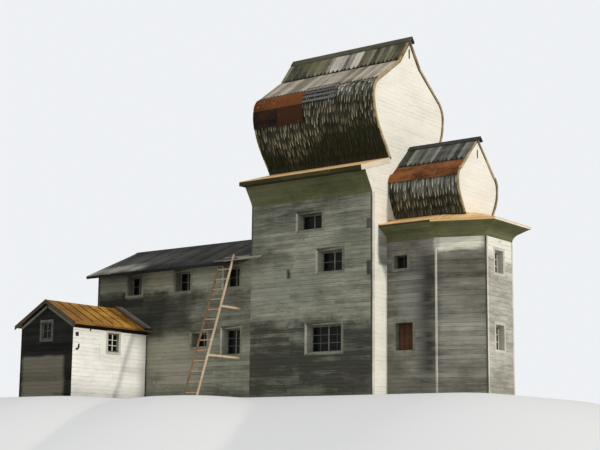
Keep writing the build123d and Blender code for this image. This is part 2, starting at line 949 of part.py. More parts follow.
with BuildPart() as ladder:
    for side, reach in rail_tops:
        rail_middle = ladder_middle + side * (ladder_width - rail_width) / 2
        with BuildSketch(facing_east(rail_middle)):
            outline(
                [
                    (rail_inner(0), 0),
                    (rail_inner(reach), reach),
                    (rail_inner(reach) - rail_depth, reach),
                    (rail_inner(0) - rail_depth, 0),
                ]
            )
        extrude(amount=rail_width / 2, both=True)
    rung_count = int((top_rung - rung_clear) / rung_spacing) + 1
    with BuildSketch(facing_east(ladder_middle)):
        for rung in range(rung_count):
            height = top_rung - rung * rung_spacing
            with Locations((rail_inner(height) - rail_depth / 2, height)):
                Circle(rung_size / 2)
    extrude(amount=ladder_width / 2 - rail_width / 2, both=True)
    with BuildSketch(facing_east(ladder_middle + (ladder_width - rail_width) / 2)):
        for height in brace_heights:
            rectangle(
                rail_inner(height) - rail_depth / 2,
                -half_width,
                height - brace_depth / 2,
                height + brace_depth / 2,
            )
    extrude(amount=brace_thickness / 2, both=True)

pieces = {
    "tower_south_wall": tower_south_wall,
    "tower_north_wall": tower_north_wall,
    "tower_east_wall": tower_east_wall,
    "tower_west_wall": tower_west_wall,
    "tower_east_gable": tower_east_gable,
    "tower_west_gable": tower_west_gable,
    "tower_flares": tower_flares,
    "tower_skirt_roofs": tower_skirt_roofs,
    "tower_barrel_roof": tower_barrel_roof,
    "tower_crown_boards": tower_crown_boards,
    "tower_ridge_board": tower_ridge_board,
    "tower_ceiling": tower_ceiling,
    "apse_south_wall": apse_south_wall,
    "apse_southeast_wall": apse_southeast_wall,
    "apse_east_wall": apse_east_wall,
    "apse_northeast_wall": apse_northeast_wall,
    "apse_north_wall": apse_north_wall,
    "apse_flare": apse_flare,
    "apse_skirt_roof": apse_skirt_roof,
    "apse_barrel_roof": apse_barrel_roof,
    "apse_gable": apse_gable,
    "apse_crown_boards": apse_crown_boards,
    "apse_ridge_board": apse_ridge_board,
    "refectory_south_wall": refectory_south_wall,
    "refectory_south_wall_west_end": refectory_south_wall_west_end,
    "refectory_north_wall": refectory_north_wall,
    "refectory_west_wall": refectory_west_wall,
    "refectory_south_roof": refectory_south_roof,
    "refectory_north_roof": refectory_north_roof,
    "refectory_ridge_board": refectory_ridge_board,
    "ground_floor": ground_floor,
    "upper_floor": upper_floor,
    "porch_south_wall": porch_south_wall,
    "porch_east_wall": porch_east_wall,
    "porch_west_wall": porch_west_wall,
    "porch_door": porch_door,
    "porch_floor": porch_floor,
    "porch_metal_roof": porch_metal_roof,
    "porch_rear_roof": porch_rear_roof,
    "porch_barge_boards": porch_barge_boards,
    "main_window_frames": main_window_frames,
    "main_window_glass": main_window_glass,
    "apse_window_frames": apse_window_frames,
    "apse_window_glass": apse_window_glass,
    "apse_shutters": apse_shutters,
    "porch_window_frames": porch_window_frames,
    "porch_window_glass": porch_window_glass,
    "ladder": ladder,
}
for label, piece in pieces.items():
    finish(piece, label)
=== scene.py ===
import math

import bpy
import numpy as np
from bpy.props import FloatProperty, FloatVectorProperty, IntProperty, PointerProperty
from mathutils import Matrix, Vector


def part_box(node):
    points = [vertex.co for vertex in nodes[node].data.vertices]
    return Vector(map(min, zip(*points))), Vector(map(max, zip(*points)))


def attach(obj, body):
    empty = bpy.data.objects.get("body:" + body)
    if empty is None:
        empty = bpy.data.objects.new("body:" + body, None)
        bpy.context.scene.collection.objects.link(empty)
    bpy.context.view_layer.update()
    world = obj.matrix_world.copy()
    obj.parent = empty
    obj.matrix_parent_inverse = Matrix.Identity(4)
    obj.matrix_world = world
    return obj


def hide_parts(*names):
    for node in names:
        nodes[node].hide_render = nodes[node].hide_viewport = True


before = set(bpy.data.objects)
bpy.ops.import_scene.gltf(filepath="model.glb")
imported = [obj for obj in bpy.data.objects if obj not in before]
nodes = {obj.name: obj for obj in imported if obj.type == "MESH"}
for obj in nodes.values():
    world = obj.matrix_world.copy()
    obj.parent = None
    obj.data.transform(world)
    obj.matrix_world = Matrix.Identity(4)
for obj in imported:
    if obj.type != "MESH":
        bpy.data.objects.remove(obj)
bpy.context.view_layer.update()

bl_info = {
    "name": "Timber church",
    "version": (1, 0, 0),
    "blender": (4, 5, 0),
    "location": "View3D > Sidebar > Church",
    "description": "Boards, shingles, roofs, window bars and weathered finishes of a timber church",
    "category": "Object",
}


def node_box(name):
    """Lowest and highest corner of a CAD node, as arrays in metres."""
    low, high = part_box(name)
    return np.array(low), np.array(high)


# Places of the main walls, read from the frame: lengths from the tower's middle, widths from its axis
south_low, south_high = node_box("tower_south_wall")
north_high = node_box("tower_north_wall")[1]
site = np.array([(south_low[0] + south_high[0]) / 2, (south_low[1] + north_high[1]) / 2, 0.0])
half_length = (south_high[0] - south_low[0]) / 2
half_width = (north_high[1] - south_low[1]) / 2
flare_start = south_high[2]
refectory_west = node_box("refectory_west_wall")[0][0] - site[0]
apse_low, apse_high = node_box("apse_south_wall")
apse_half = site[1] - apse_low[1]
apse_corner = apse_high[0] - site[0]
apse_flare_start = apse_high[2]
apse_side_middle = (half_length + apse_corner) / 2
apse_east = node_box("apse_east_wall")[1][0] - site[0]
porch_low, porch_high = node_box("porch_south_wall")
porch_south = porch_low[1] - site[1]
porch_east = porch_high[0] - site[0]
porch_middle = (refectory_west + porch_east) / 2
porch_half = porch_middle - refectory_west
# The half width of the apse's east wall at its corners, and the ladder's place a metre from the tower
apse_east_half = 1.175
ladder_middle = -half_length - 1.0


# Sidebar settings


def length(name, text, default, low, high):
    """A length for the sidebar, in metres."""
    return FloatProperty(name=name, description=text, default=default, min=low, max=high, unit="LENGTH")


def swatch(name, text, default):
    """A colour for the sidebar."""
    return FloatVectorProperty(
        name=name, description=text, default=default, size=3, subtype="COLOR", min=0.0, max=1.0)


class ChurchSizes(bpy.types.PropertyGroup):
    """Sizes of the boards and shingles that dress the church."""

    board_width: length("Wall board", "Height of one wall board", 0.195, 0.1, 0.4)
    board_thickness: length("Board thickness", "How far wall boards stand on the wall", 0.018, 0.005, 0.05)
    joint: length("Joint", "Gap between neighbouring boards", 0.008, 0.0, 0.03)
    shingle_width: length("Shingle width", "Width of one pointed shingle", 0.15, 0.08, 0.3)
    shingle_length: length("Shingle length", "Whole length of one shingle", 0.84, 0.3, 1.5)
    shingle_rows: IntProperty(
        name="Shingle rows", description="Courses up the tower's barrel roof", default=10, min=3, max=20)
    crown_board: length("Crown board", "Width of a roof board near the ridge", 0.24, 0.1, 0.4)
    pane_bar: length("Window bar", "Width of the thin bars between panes", 0.026, 0.01, 0.06)


class ChurchColours(bpy.types.PropertyGroup):
    """Main colours of the church's finishes."""

    grey_board: swatch("Grey board", "Weathered wall boards", (0.30, 0.30, 0.225))
    # The cream of the east walls is painted sunlight: their boards are weathered grey like the others, lit by
    # the low sun from the east.
    east_sunlight_cream: swatch("Sunlit cream", "Cream standing for sunlight on the east walls", (0.82, 0.78, 0.68))
    new_pine: swatch("New pine", "New boards of the skirt roofs", (0.78, 0.50, 0.22))
    rust: swatch("Rust", "Rusted sheet iron", (0.33, 0.12, 0.045))


# Meshes


def slabs(low, high, normal, thickness):
    """Flat or bent boards as closed boxes, many at once.

    low and high hold the two long edges of each board's outer face, as boards x stations x 3.
    The inner face is the outer one moved back along the normal by the thickness. The returned
    map gives metres across and along each board, and the last value is each point's board.
    """
    count, stations = low.shape[:2]
    back = normal * thickness
    rings = np.stack([low, high, high - back, low - back], axis=2)
    across = np.linalg.norm(high - low, axis=-1)
    middle = (low + high) / 2
    steps = np.linalg.norm(np.diff(middle, axis=1), axis=-1)
    along = np.concatenate([np.zeros((count, 1)), np.cumsum(steps, axis=1)], axis=1)
    edge = np.stack([-across / 2, across / 2, across / 2 + 0.02, -across / 2 - 0.02], axis=2)
    chart = np.stack([edge, np.repeat(along[:, :, None], 4, axis=2)], axis=3)
    base = (np.arange(count) * stations * 4)[:, None, None]
    ring = (np.arange(stations - 1) * 4)[None, :, None]
    corner = np.arange(4)[None, None, :]
    after = (corner + 1) % 4
    corners = [ring + corner, ring + after, ring + 4 + after, ring + 4 + corner]
    sides = np.stack([base + spot for spot in corners], axis=3).reshape(-1, 4)
    first = base[:, 0] + np.array([0, 3, 2, 1])
    last = base[:, 0] + (stations - 1) * 4 + np.array([0, 1, 2, 3])
    turn = np.cross(high[:, 0] - low[:, 0], middle[:, 1] - middle[:, 0])
    inside_out = np.einsum("ij,ij->i", turn, normal[:, 0]) < 0
    boards = np.arange(count)
    owner = np.concatenate([np.repeat(boards, (stations - 1) * 4), boards, boards])
    faces = np.concatenate([sides, first, last])
    faces = np.where(inside_out[owner][:, None], faces[:, ::-1], faces)
    return rings.reshape(-1, 3), faces, chart.reshape(-1, 2), np.repeat(boards, stations * 4)


class Heap:
    """Boards of one piece, gathered before they become one mesh."""

    def __init__(self, seed):
        self.rng = np.random.default_rng(seed)
        self.points, self.faces, self.charts, self.tints, self.worns, self.size = [], [], [], [], [], 0

    def add(self, low, high, normal, thickness, tint=None, worn=0.0):
        """Adds boards as slabs does; tint is each board's number from 0 to 1, worn one number a station."""
        low, high, normal = np.broadcast_arrays(np.asarray(low, float), high, normal)
        points, faces, chart, owner = slabs(low, high, np.array(normal), thickness)
        count, stations = low.shape[:2]
        tint = self.rng.random(count) if tint is None else np.full(count, tint)
        shift = self.rng.random((count, 2)) * 20
        self.points.append(points)
        self.faces.append(faces + self.size)
        self.charts.append(chart + shift[owner])
        self.tints.append(tint[owner])
        self.worns.append(np.tile(np.repeat(np.broadcast_to(worn, stations), 4), count))
        self.size += len(points)

    def board(self, low, high, normal, thickness):
        """Adds one board between two edges, each given as a row of points."""
        self.add(low[None], high[None], normal, thickness)

    def piece(self, name, slot, coat):
        """Makes the mesh object and lets it ride on the church; slot is not used."""
        thing = mesh_object(name, coat, *map(np.concatenate, (
            self.points, self.faces, self.charts, self.tints, self.worns)))
        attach(thing, "root")


def mesh_object(name, coat, points, faces, chart, tint, worn, smooth=False):
    """One mesh object from arrays of points and four-cornered faces, in metres at the origin."""
    mesh = bpy.data.meshes.new(name)
    mesh.vertices.add(len(points))
    mesh.vertices.foreach_set("co", np.asarray(points, np.float32).ravel())
    mesh.loops.add(faces.size)
    mesh.loops.foreach_set("vertex_index", np.asarray(faces, np.int32).ravel())
    mesh.polygons.add(len(faces))
    mesh.polygons.foreach_set("loop_start", np.arange(0, faces.size, 4, dtype=np.int32))
    mesh.update(calc_edges=True)
    layer = mesh.uv_layers.new(name="board")
    layer.data.foreach_set("uv", np.asarray(chart[faces.ravel()], np.float32).ravel())
    for label, values in (("tint", tint), ("worn", worn)):
        mesh.attributes.new(label, "FLOAT", "POINT").data.foreach_set("value", values.astype(np.float32))
    mesh.polygons.foreach_set("use_smooth", np.full(len(faces), smooth))
    mesh.materials.append(coat)
    thing = bpy.data.objects.new(name, mesh)
    bpy.context.scene.collection.objects.link(thing)
    return thing


def place(x, y, z):
    """Points from church lengths: x from the tower's middle, y from the axis, z from the ground."""
    return np.stack(np.broadcast_arrays(x, y, z), axis=-1).astype(float) + site


# Finishes


class Number:
    """A value in a node tree, so that the formula of a finish reads as arithmetic."""

    def __init__(self, sheet, socket):
        self.sheet, self.socket = sheet, socket

    def __add__(self, other):
        return self.sheet.math("ADD", self, other)

    def __sub__(self, other):
        return self.sheet.math("SUBTRACT", self, other)

    def __mul__(self, other):
        return self.sheet.math("MULTIPLY", self, other)

    __radd__, __rmul__ = __add__, __mul__


class Sheet:
    """Short words for wiring one node tree."""

    def __init__(self, tree):
        self.tree = tree

    def node(self, kind, **settings):
        """A new node of a kind, with its settings."""
        made = self.tree.nodes.new(kind)
        for key, value in settings.items():
            setattr(made, key, value)
        return made

    def wire(self, source, target):
        """Links a value to an input, or sets the input to a constant."""
        source = source.socket if isinstance(source, Number) else source
        if isinstance(source, bpy.types.NodeSocket):
            self.tree.links.new(source, target)
        else:
            target.default_value = source

    def fed(self, kind, *values, **settings):
        """A node with values wired to its first inputs; gives its first output."""
        made = self.node(kind, **settings)
        for socket, value in zip(made.inputs, values):
            self.wire(value, socket)
        return Number(self, made.outputs[0])

    def math(self, operation, first, second):
        """Two values added, subtracted, multiplied or divided, or the smaller or larger of them."""
        return self.fed("ShaderNodeMath", first, second, operation=operation)

    def stretch(self, vector, scale):
        """A vector with each of its parts multiplied by the scale's."""
        return self.fed("ShaderNodeVectorMath", vector, scale, operation="MULTIPLY")

    def ramp(self, value, low, high, start=0.0, end=1.0):
        """A value's share of the way from low to high, held at both ends, as start to end."""
        return self.fed("ShaderNodeMapRange", value, low, high, start, end)

    def mix(self, share, first, second):
        """The first colour moved towards the second by the share."""
        made = self.node("ShaderNodeMix", data_type="RGBA")
        self.wire(share, made.inputs[0])
        for socket, colour in ((made.inputs[6], first), (made.inputs[7], second)):
            self.wire(colour if isinstance(colour, Number) else (*colour, 1.0), socket)
        return Number(self, made.outputs[2])

    def noise(self, vector, scale, detail, rough):
        """Noise from 0 to 1 at a place in space."""
        made = self.node("ShaderNodeTexNoise")
        self.wire(vector, made.inputs["Vector"])
        for label, value in (("Scale", scale), ("Detail", detail), ("Roughness", rough)):
            made.inputs[label].default_value = value
        return Number(self, made.outputs[0])

    def where(self):
        """The place in object space."""
        return self.node("ShaderNodeTexCoord").outputs["Object"]

    def attribute(self, name):
        """A number that each point of the mesh carries."""
        return Number(self, self.node("ShaderNodeAttribute", attribute_name=name).outputs["Fac"])

    def use(self, tree, scale=None):
        """A node group, whose outputs are then asked for by name."""
        made = self.node("ShaderNodeGroup", node_tree=tree)
        if scale:
            made.inputs["Blotch Scale"].default_value = scale
        return lambda label: Number(self, made.outputs[label])

    def dress(self, shader, colour, height, strength):
        """Gives a shader its colour and a bump one centimetre deep."""
        raised = self.node("ShaderNodeBump")
        raised.inputs["Strength"].default_value = strength
        raised.inputs["Distance"].default_value = 0.01
        self.wire(height, raised.inputs["Height"])
        self.wire(raised.outputs[0], shader.inputs["Normal"])
        self.wire(colour, shader.inputs["Base Color"])


def group(name, scale, labels):
    """An empty shader node group of numbers; returns its wiring sheet, its input and its output sockets.

    scale is the standard value of its one input, Blotch Scale, or None for a group without inputs.
    """
    tree = bpy.data.node_groups.new(name, "ShaderNodeTree")
    if scale:
        socket = tree.interface.new_socket("Blotch Scale", in_out="INPUT", socket_type="NodeSocketFloat")
        socket.default_value = scale
    for label in labels:
        tree.interface.new_socket(label, in_out="OUTPUT", socket_type="NodeSocketFloat")
    sheet = Sheet(tree)
    return sheet, sheet.node("NodeGroupInput").outputs[0], sheet.node("NodeGroupOutput").inputs


def grain_group():
    """Wood grain along each board: fine streaks, open cracks and one tone a board.

    Noise is stretched along the board's own map, so it is long that way and fine across.
    """
    sheet, start, ends = group("wood_grain", None, ("Tone", "Streak", "Crack", "Height"))
    chart = sheet.node("ShaderNodeUVMap", uv_map="board").outputs[0]

    def lines(across, along, detail, rough):
        """Noise on the board's map, with this many blobs a metre across it and along it."""
        return sheet.noise(sheet.stretch(chart, (across, along, 1.0)), 1.0, detail, rough)

    streak = lines(26.0, 1.1, 4.0, 0.6) * 0.6 + lines(120.0, 3.5, 3.0, 0.65) * 0.4
    crack = sheet.ramp(lines(60.0, 0.8, 2.0, 0.5), 0.66, 0.72)
    for value, socket in zip((sheet.attribute("tint"), streak, crack, streak - crack * 0.8), ends):
        sheet.wire(value, socket)
    return sheet.tree


def weather_group():
    """Stains of the whole wall in object space.

    Wide blotches, runs down the wall, wear along the courses and damp near the ground, with the
    place itself in metres east, north and up.
    """
    labels = ("Blotch", "Runs", "Courses", "Damp", "East", "North", "Up")
    sheet, scale, ends = group("weather", 0.5, labels)
    where = sheet.where()
    blotch = sheet.noise(sheet.stretch(sheet.stretch(where, scale), (1.0, 1.0, 1.7)), 1.0, 5.0, 0.62)
    runs = sheet.noise(sheet.stretch(where, (5.5, 5.5, 0.45)), 1.0, 4.0, 0.6)
    courses = sheet.noise(sheet.stretch(where, (0.75, 0.75, 4.2)), 1.0, 5.0, 0.65)
    parts = sheet.node("ShaderNodeSeparateXYZ")
    sheet.wire(where, parts.inputs[0])
    east, north, up = (Number(sheet, socket) for socket in parts.outputs)
    damp = sheet.ramp(up + blotch * 0.9, 1.3, 0.4)
    for value, socket in zip((blotch, runs, courses, damp, east, north, up), ends):
        sheet.wire(value, socket)
    return sheet.tree


GRAIN = grain_group()
WEATHER = weather_group()


def finish(name, roughness=0.85, specular=0.12):
    """A material with one Principled shader; returns it, its wiring sheet and the shader."""
    made = bpy.data.materials.new(name)
    made.use_nodes = True
    made.node_tree.nodes.clear()
    sheet = Sheet(made.node_tree)
    end = sheet.node("ShaderNodeOutputMaterial")
    shader = sheet.node("ShaderNodeBsdfPrincipled")
    shader.inputs["Roughness"].default_value = roughness
    shader.inputs["Specular IOR Level"].default_value = specular
    sheet.wire(shader.outputs[0], end.inputs[0])
    return made, sheet, shader


def soft_patch(sheet, sky, along, up, soft, axis):
    """Mask of a patch of wall: 1 inside its range along the wall and up it, 0 outside, its edge ragged.

    The edge is a ramp as wide as soft on both sides, moved by the blotches and courses.
    """
    shift = site[0] if axis == "East" else site[1]
    ragged = (sky("Blotch") - 0.5) * (3.2 * soft) + (sky("Courses") - 0.5) * (2.0 * soft)
    mask = 1.0
    for label, low, high, edge in (
            (axis, along[0] + shift, along[1] + shift, soft), ("Up", *up, soft * 0.6)):
        spot = sky(label) + ragged
        mask = sheet.ramp(spot, low - edge, low + edge) * mask
        mask = mask * sheet.ramp(spot, high + edge, high - edge)
    return mask


def board_finish(name, dark, pale, board=0.5, streak=0.6, blotch=0.8, runs=0.08, courses=0.35, bias=0.5,
                 zones=(), stain=None, stain_from=0.6, moss=None, bump=0.35, soil=0.5, blotch_scale=0.5,
                 roughness=0.85, patches=(), axis="East"):
    """Weathered boards: a tone from dark to pale, the sum of the board's own tone, grain, blotches and wear.

    zones gives extra tone by height, as (height in metres, tone) pairs. stain and moss are (colour, amount).
    Each of patches is (range along the wall, range up, soft edge, colour, amount), with the wall along axis.
    """
    made, sheet, shader = finish(name, roughness)
    wood, sky = sheet.use(GRAIN), sheet.use(WEATHER, blotch_scale)
    own, grain, cloud = wood("Tone") - 0.5, wood("Streak") - 0.5, sky("Blotch") - 0.5
    tone = own * board + bias + grain * (streak * 2) + cloud * (blotch * 2)
    tone = tone + (sky("Runs") - 0.5) * (runs * 2) + (sky("Courses") - 0.5) * (courses * 2)
    if zones:
        span = zones[-1][0]
        curve = sheet.node("ShaderNodeValToRGB")
        sheet.wire(sheet.math("DIVIDE", sky("Up") + cloud * 1.6, span), curve.inputs[0])
        stops = curve.color_ramp.elements
        for spot, (height, level) in enumerate(zones):
            stop = stops[spot] if spot < 2 else stops.new(height / span)
            stop.position = height / span
            stop.color = (*[level * 0.5 + 0.5] * 3, 1)
        tone = tone + (Number(sheet, curve.outputs[0]) - 0.5) * 2.0
    tone = sheet.math("MAXIMUM", sheet.math("MINIMUM", tone, 1.0), 0.0)
    colour = sheet.mix(tone, dark, pale)
    if stain:
        edge = sky("Courses") + grain * 0.3
        colour = sheet.mix(sheet.ramp(edge, stain_from, stain_from + 0.12, 0.0, stain[1]), colour, stain[0])
    for along, up, soft, shade, amount in patches:
        worn = grain * 1.2 + 0.75 + own * 0.4
        colour = sheet.mix(soft_patch(sheet, sky, along, up, soft, axis) * worn * amount, colour, shade)
    if moss:
        mask = sheet.ramp(sky("Blotch") + own * 0.15, 0.42, 0.57, 0.0, moss[1])
        colour = sheet.mix(mask, colour, moss[0])
    if soil:
        colour = sheet.mix(sky("Damp") * soil, colour, (0.05, 0.05, 0.035))
    colour = sheet.mix(wood("Crack") * 0.6, colour, np.array(dark) * 0.25)
    sheet.dress(shader, colour, wood("Height"), bump)
    return made


def high_finish(name, dark, pale, **looks):
    """Boards high above the ground, which have neither runs nor damp."""
    return board_finish(name, dark, pale, runs=0.0, soil=0.0, **looks)


def shingle_finish(name, upper, lower):
    """Long weathered shingles: dark with pale worn points, greyer high up and near black towards the neck.

    upper and lower are the heights in metres between which the grey and the black set in. The black
    starts lower in the western half of the roof, where more points are worn.
    """
    made, sheet, shader = finish(name, 0.9)
    wood, sky = sheet.use(GRAIN), sheet.use(WEATHER, 0.9)
    tip = sheet.ramp(sheet.attribute("worn"), 0.32, 0.8)
    high = sky("Up") + sky("Blotch") * 1.2
    worn_half = sheet.ramp(sky("East"), site[0] - 3.6, site[0] - 2.0)
    worn_half = worn_half * sheet.ramp(sky("East"), site[0] + 0.4, site[0] - 0.8)
    tone = wood("Streak") * 0.7 + wood("Tone") * 0.5 + sky("Blotch") * 0.7
    tone = sheet.ramp(tone, 0.65, 1.45)
    body = sheet.mix(tone, (0.010, 0.010, 0.006), (0.085, 0.078, 0.052))
    pale = sheet.mix(tone, (0.10, 0.088, 0.045), (0.64, 0.57, 0.36))
    grey = sheet.mix(tone * (tip + 0.4), (0.03, 0.03, 0.025), (0.74, 0.71, 0.59))
    colour = sheet.mix(sheet.ramp(high, *upper), sheet.mix(tip, body, pale), grey)
    colour = sheet.mix(sheet.ramp(high + worn_half, *lower, 0.0, 0.9), colour, (0.021, 0.022, 0.009))
    sheet.dress(shader, colour, wood("Height"), 0.4)
    return made


def rust_finish(name, colour, dark, amount=0.5, seams=0.35, fade=None):
    """Rusted sheet: a tone from blotches, fine scale, level streaks and the sheet's own number.

    fade is (axis, from, to) in metres, over which the sheet gets darker.
    """
    made, sheet, shader = finish(name, 0.8, specular=0.14)
    sky = sheet.use(WEATHER, 0.9)
    scale = sheet.noise(sheet.where(), 9.0, 6.0, 0.7)
    tone = sky("Blotch") * 1.7 + scale * 1.2 + sheet.attribute("tint") * seams + sky("Courses") * 1.3
    tone = sheet.ramp(tone, 2.1 - amount * 0.3, 2.7 - amount * 0.3)
    base = sheet.mix(tone, dark, colour)
    base = sheet.mix(sheet.ramp(scale, 0.6, 0.75, 0.0, 0.35), base, np.minimum(np.array(colour) * 1.7, 1))
    base = sheet.mix(sheet.ramp(scale, 0.45, 0.3, 0.0, 0.6), base, np.array(dark) * 0.4)
    if fade:
        base = sheet.mix(sheet.ramp(sky(fade[0]), *fade[1:], 0.0, 0.7), base, dark)
    sheet.dress(shader, base, scale, 0.25)
    return made


def plain_wood(name, dark, pale, scale=1.0):
    """Wood for parts of the frame, patterned in object space: level boards, grain along them and stains."""
    made, sheet, shader = finish(name)
    where = sheet.where()
    stretched = sheet.stretch(where, (2.2 * scale, 2.2 * scale, 34.0 * scale))
    grain = sheet.noise(stretched, 1.0, 4.0, 0.6)
    knots = sheet.noise(where, 3.0 * scale, 2.0, 0.5)
    tone = grain * 0.9 + sheet.use(WEATHER)("Blotch") * 0.7 + knots * 0.4
    sheet.dress(shader, sheet.mix(sheet.ramp(tone, 0.75, 1.3), dark, pale), grain, 0.25)
    return made


# Walls

UP = np.array([0.0, 0.0, 1.0])


class Wall:
    """One upright wall face: a starting point on the ground, the way along it and the way out of it."""

    def __init__(self, start, along, out):
        self.start = site + np.array([*start, 0.0])
        self.along = np.array([*along, 0.0]) / math.hypot(*along)
        self.out = np.array([*out, 0.0]) / math.hypot(*out)

    def at(self, a, z, out):
        """Points a metres along the wall, z up and out metres in front of it."""
        a, z, out = np.broadcast_arrays(a, z, out)
        return self.start + a[..., None] * self.along + z[..., None] * UP + out[..., None] * self.out

    def panels(self, heap, a0, a1, z0, z1, out, thickness):
        """Upright rectangular boards on the wall, their grain along their longer side."""
        sides = (np.atleast_1d(v).astype(float) for v in (a0, a1, z0, z1, out))
        a0, a1, z0, z1, out = np.broadcast_arrays(*sides)
        level = (a1 - a0) >= (z1 - z0)
        for chosen, flat in ((level, True), (~level, False)):
            if chosen.any():
                b0, b1, y0, y1, o = (v[chosen] for v in (a0, a1, z0, z1, out))
                if flat:
                    ends = ((b0, y0), (b1, y0)), ((b0, y1), (b1, y1))
                else:
                    ends = ((b1, y0), (b1, y1)), ((b0, y0), (b0, y1))
                low, high = (np.stack([self.at(a, z, o) for a, z in edge], axis=1) for edge in ends)
                heap.add(low, high, self.out, thickness)


SOUTH = Wall((0, -half_width), (1, 0), (0, -1))
NORTH = Wall((0, half_width), (1, 0), (0, 1))
TOWER_EAST = Wall((half_length, 0), (0, 1), (1, 0))
TOWER_WEST = Wall((-half_length, 0), (0, 1), (-1, 0))
WEST = Wall((refectory_west, 0), (0, 1), (-1, 0))
PORCH_SOUTH = Wall((0, porch_south), (1, 0), (0, -1))
PORCH_EAST = Wall((porch_east, 0), (0, 1), (1, 0))


def apse_faces():
    """The apse's five wall faces, each with the middle of its edge as its start, and its half length."""
    half = [(half_length, apse_half), (apse_corner, apse_half), (apse_east, apse_east_half)]
    corners = np.array([(x, -y) for x, y in half] + half[::-1])
    ways = corners[1:] - corners[:-1]
    middles = (corners[1:] + corners[:-1]) / 2
    return [(Wall(middle, way, (way[1], -way[0])), np.hypot(*way) / 2) for middle, way in zip(middles, ways)]


APSE = apse_faces()


def mitre_gain(face):
    """How much an apse face grows at its two ends for each metre that it moves outwards.

    The gain is the tangent of half the angle between the face and its neighbour, and none at the tower.
    """
    gains = []
    for other in (face - 1, face + 1):
        turn = math.acos(np.clip(APSE[face][0].out @ APSE[other][0].out, -1, 1)) if 0 <= other < 5 else 0.0
        gains.append(math.tan(turn / 2))
    return gains


# Window: middle and width along the wall, sill and height over the casing, panes across and up in each half
MAIN_WINDOWS = [
    (0.83, 2.13, 1.87, 1.455, 2, 3), (1.135, 1.595, 5.47, 1.19, 1, 2), (0.0, 1.6, 7.47, 0.985, 1, 1),
    (-4.55, 1.345, 1.955, 1.46, 1, 3), (-6.545, 1.21, 2.39, 0.91, 1, 2), (-4.58, 1.22, 5.15, 1.205, 1, 2),
    (-7.68, 1.22, 5.15, 1.205, 1, 2), (-10.93, 1.22, 5.15, 1.205, 1, 2)]
WEST_WINDOWS = [(s * 1.5, 1.22, z, 1.205, 1, 2) for s in (-1, 1) for z in (1.9, 5.15)]
EAST_WINDOWS = [(-0.075, 0.99, 1.86, 1.33, 1, 3), (-0.075, 0.99, 5.2, 1.25, 1, 3)]
HIGH_APSE_WINDOW = (4.13, 0.94, 5.49, 0.84, 1, 1)
LOW_APSE_WINDOW = (4.305, 1.13, 1.88, 1.46, 1, 1)
PORCH_GABLE_WINDOW = (-11.75, 0.9, 2.62, 1.03, 1, 2)
PORCH_SIDE_WINDOW = (-5.45, 0.97, 2.11, 1.145, 1, 3)
PORCH_ARCH = (-12.8, -11.8, 0.0, 2.75)
PORCH_DOOR = (-6.1, -5.1, 0.45, 2.45)
CASING = 0.1


def hole(window):
    """Sides of the opening inside a window's casing."""
    middle, width, sill, height = window[:4]
    return (middle - width / 2 + CASING, middle + width / 2 - CASING, sill + CASING, sill + height - CASING)


def side_hole(window, turn):
    """An opening in the apse's south (turn 1) or north (-1) side, from the middle of that wall."""
    a0, a1, z0, z1 = hole(window)
    return (*sorted((turn * (a0 - apse_side_middle), turn * (a1 - apse_side_middle))), z0, z1)


def board_rows(low, high, width):
    """Heights of the board joints between low and high, on one row spacing for the whole church."""
    inner = np.arange(math.floor(low / width), math.ceil(high / width) + 1) * width
    inner = inner + 0.012 * np.sin(inner * 7.3)
    inner = inner[(inner > low + 0.04) & (inner < high - 0.04)]
    return np.concatenate([[low], inner, [high]])


def clad(heap, wall, low, high, ends, holes=(), out=np.zeros_like, width=0.195, joint=0.008, thickness=0.018):
    """Horizontal boards on a wall between two heights.

    ends(z) gives where boards start and stop at height z, holes are (a0, a1, z0, z1) and out(z) is
    how far the face stands out at height z. Boards are cut at the holes and at random butt joints.
    """
    rng = heap.rng
    reach, shortest, last_piece = 3.6, 0.03, 0.6
    edges = board_rows(low, high, width)
    cuts = []
    for bottom, top in zip(edges, edges[1:]):
        spans = [(-99.0, 99.0)]
        for a0, a1, z0, z1 in holes:
            if z0 < top - 0.01 and z1 > bottom + 0.01:
                if z0 > bottom + 0.02:
                    cuts.append((a0, a1, bottom, z0))
                if z1 < top - 0.02:
                    cuts.append((a0, a1, z1, top))
                spans = [part for s0, s1 in spans for part in ((s0, min(s1, a0)), (max(s0, a1), s1))
                         if part[1] - part[0] > shortest]
        start, stop = ends(np.array([bottom, top]))
        for s0, s1 in spans:
            first, last = max(s0, min(start)), min(s1, max(stop))
            if last - first < shortest:
                continue
            at = first + rng.uniform(0.6, 1.0) * reach
            marks = [s0]
            while at < last - last_piece:
                marks.append(at)
                at += rng.uniform(0.7, 1.2) * reach
            marks.append(s1)
            cuts.extend((m0, m1, bottom, top) for m0, m1 in zip(marks, marks[1:]))
    a0, a1, z0, z1 = np.array(cuts).T
    z0, z1 = z0 + joint / 2, z1 - joint / 2 + rng.uniform(-0.003, 0.002, len(z1))
    corners = []
    for z in (z0, z1):
        start, stop = ends(z)
        corners += [np.maximum(a0 + 0.002, start), np.minimum(a1 - 0.002, stop)]
    l0, l1, h0, h1 = corners
    fits = (l1 - l0 > 0.0) | (h1 - h0 > 0.0)
    l1, h1 = np.maximum(l1, l0 + 0.001), np.maximum(h1, h0 + 0.001)
    l0, l1, h0, h1, z0, z1 = (v[fits] for v in (l0, l1, h0, h1, z0, z1))
    stand = thickness + rng.uniform(-0.003, 0.003, len(z0))
    o0, o1 = out(z0), out(z1)
    slope = (o1 - o0) / np.maximum(z1 - z0, 1e-4)
    normal = wall.out[None] - slope[:, None] * UP
    normal /= np.linalg.norm(normal, axis=1)[:, None]
    lift = (normal * stand[:, None])[:, None]
    lower = np.stack([wall.at(l0, z0, o0), wall.at(l1, z0, o0)], axis=1) + lift
    upper = np.stack([wall.at(h0, z1, o1), wall.at(h1, z1, o1)], axis=1) + lift
    heap.add(lower, upper, normal[:, None], thickness)


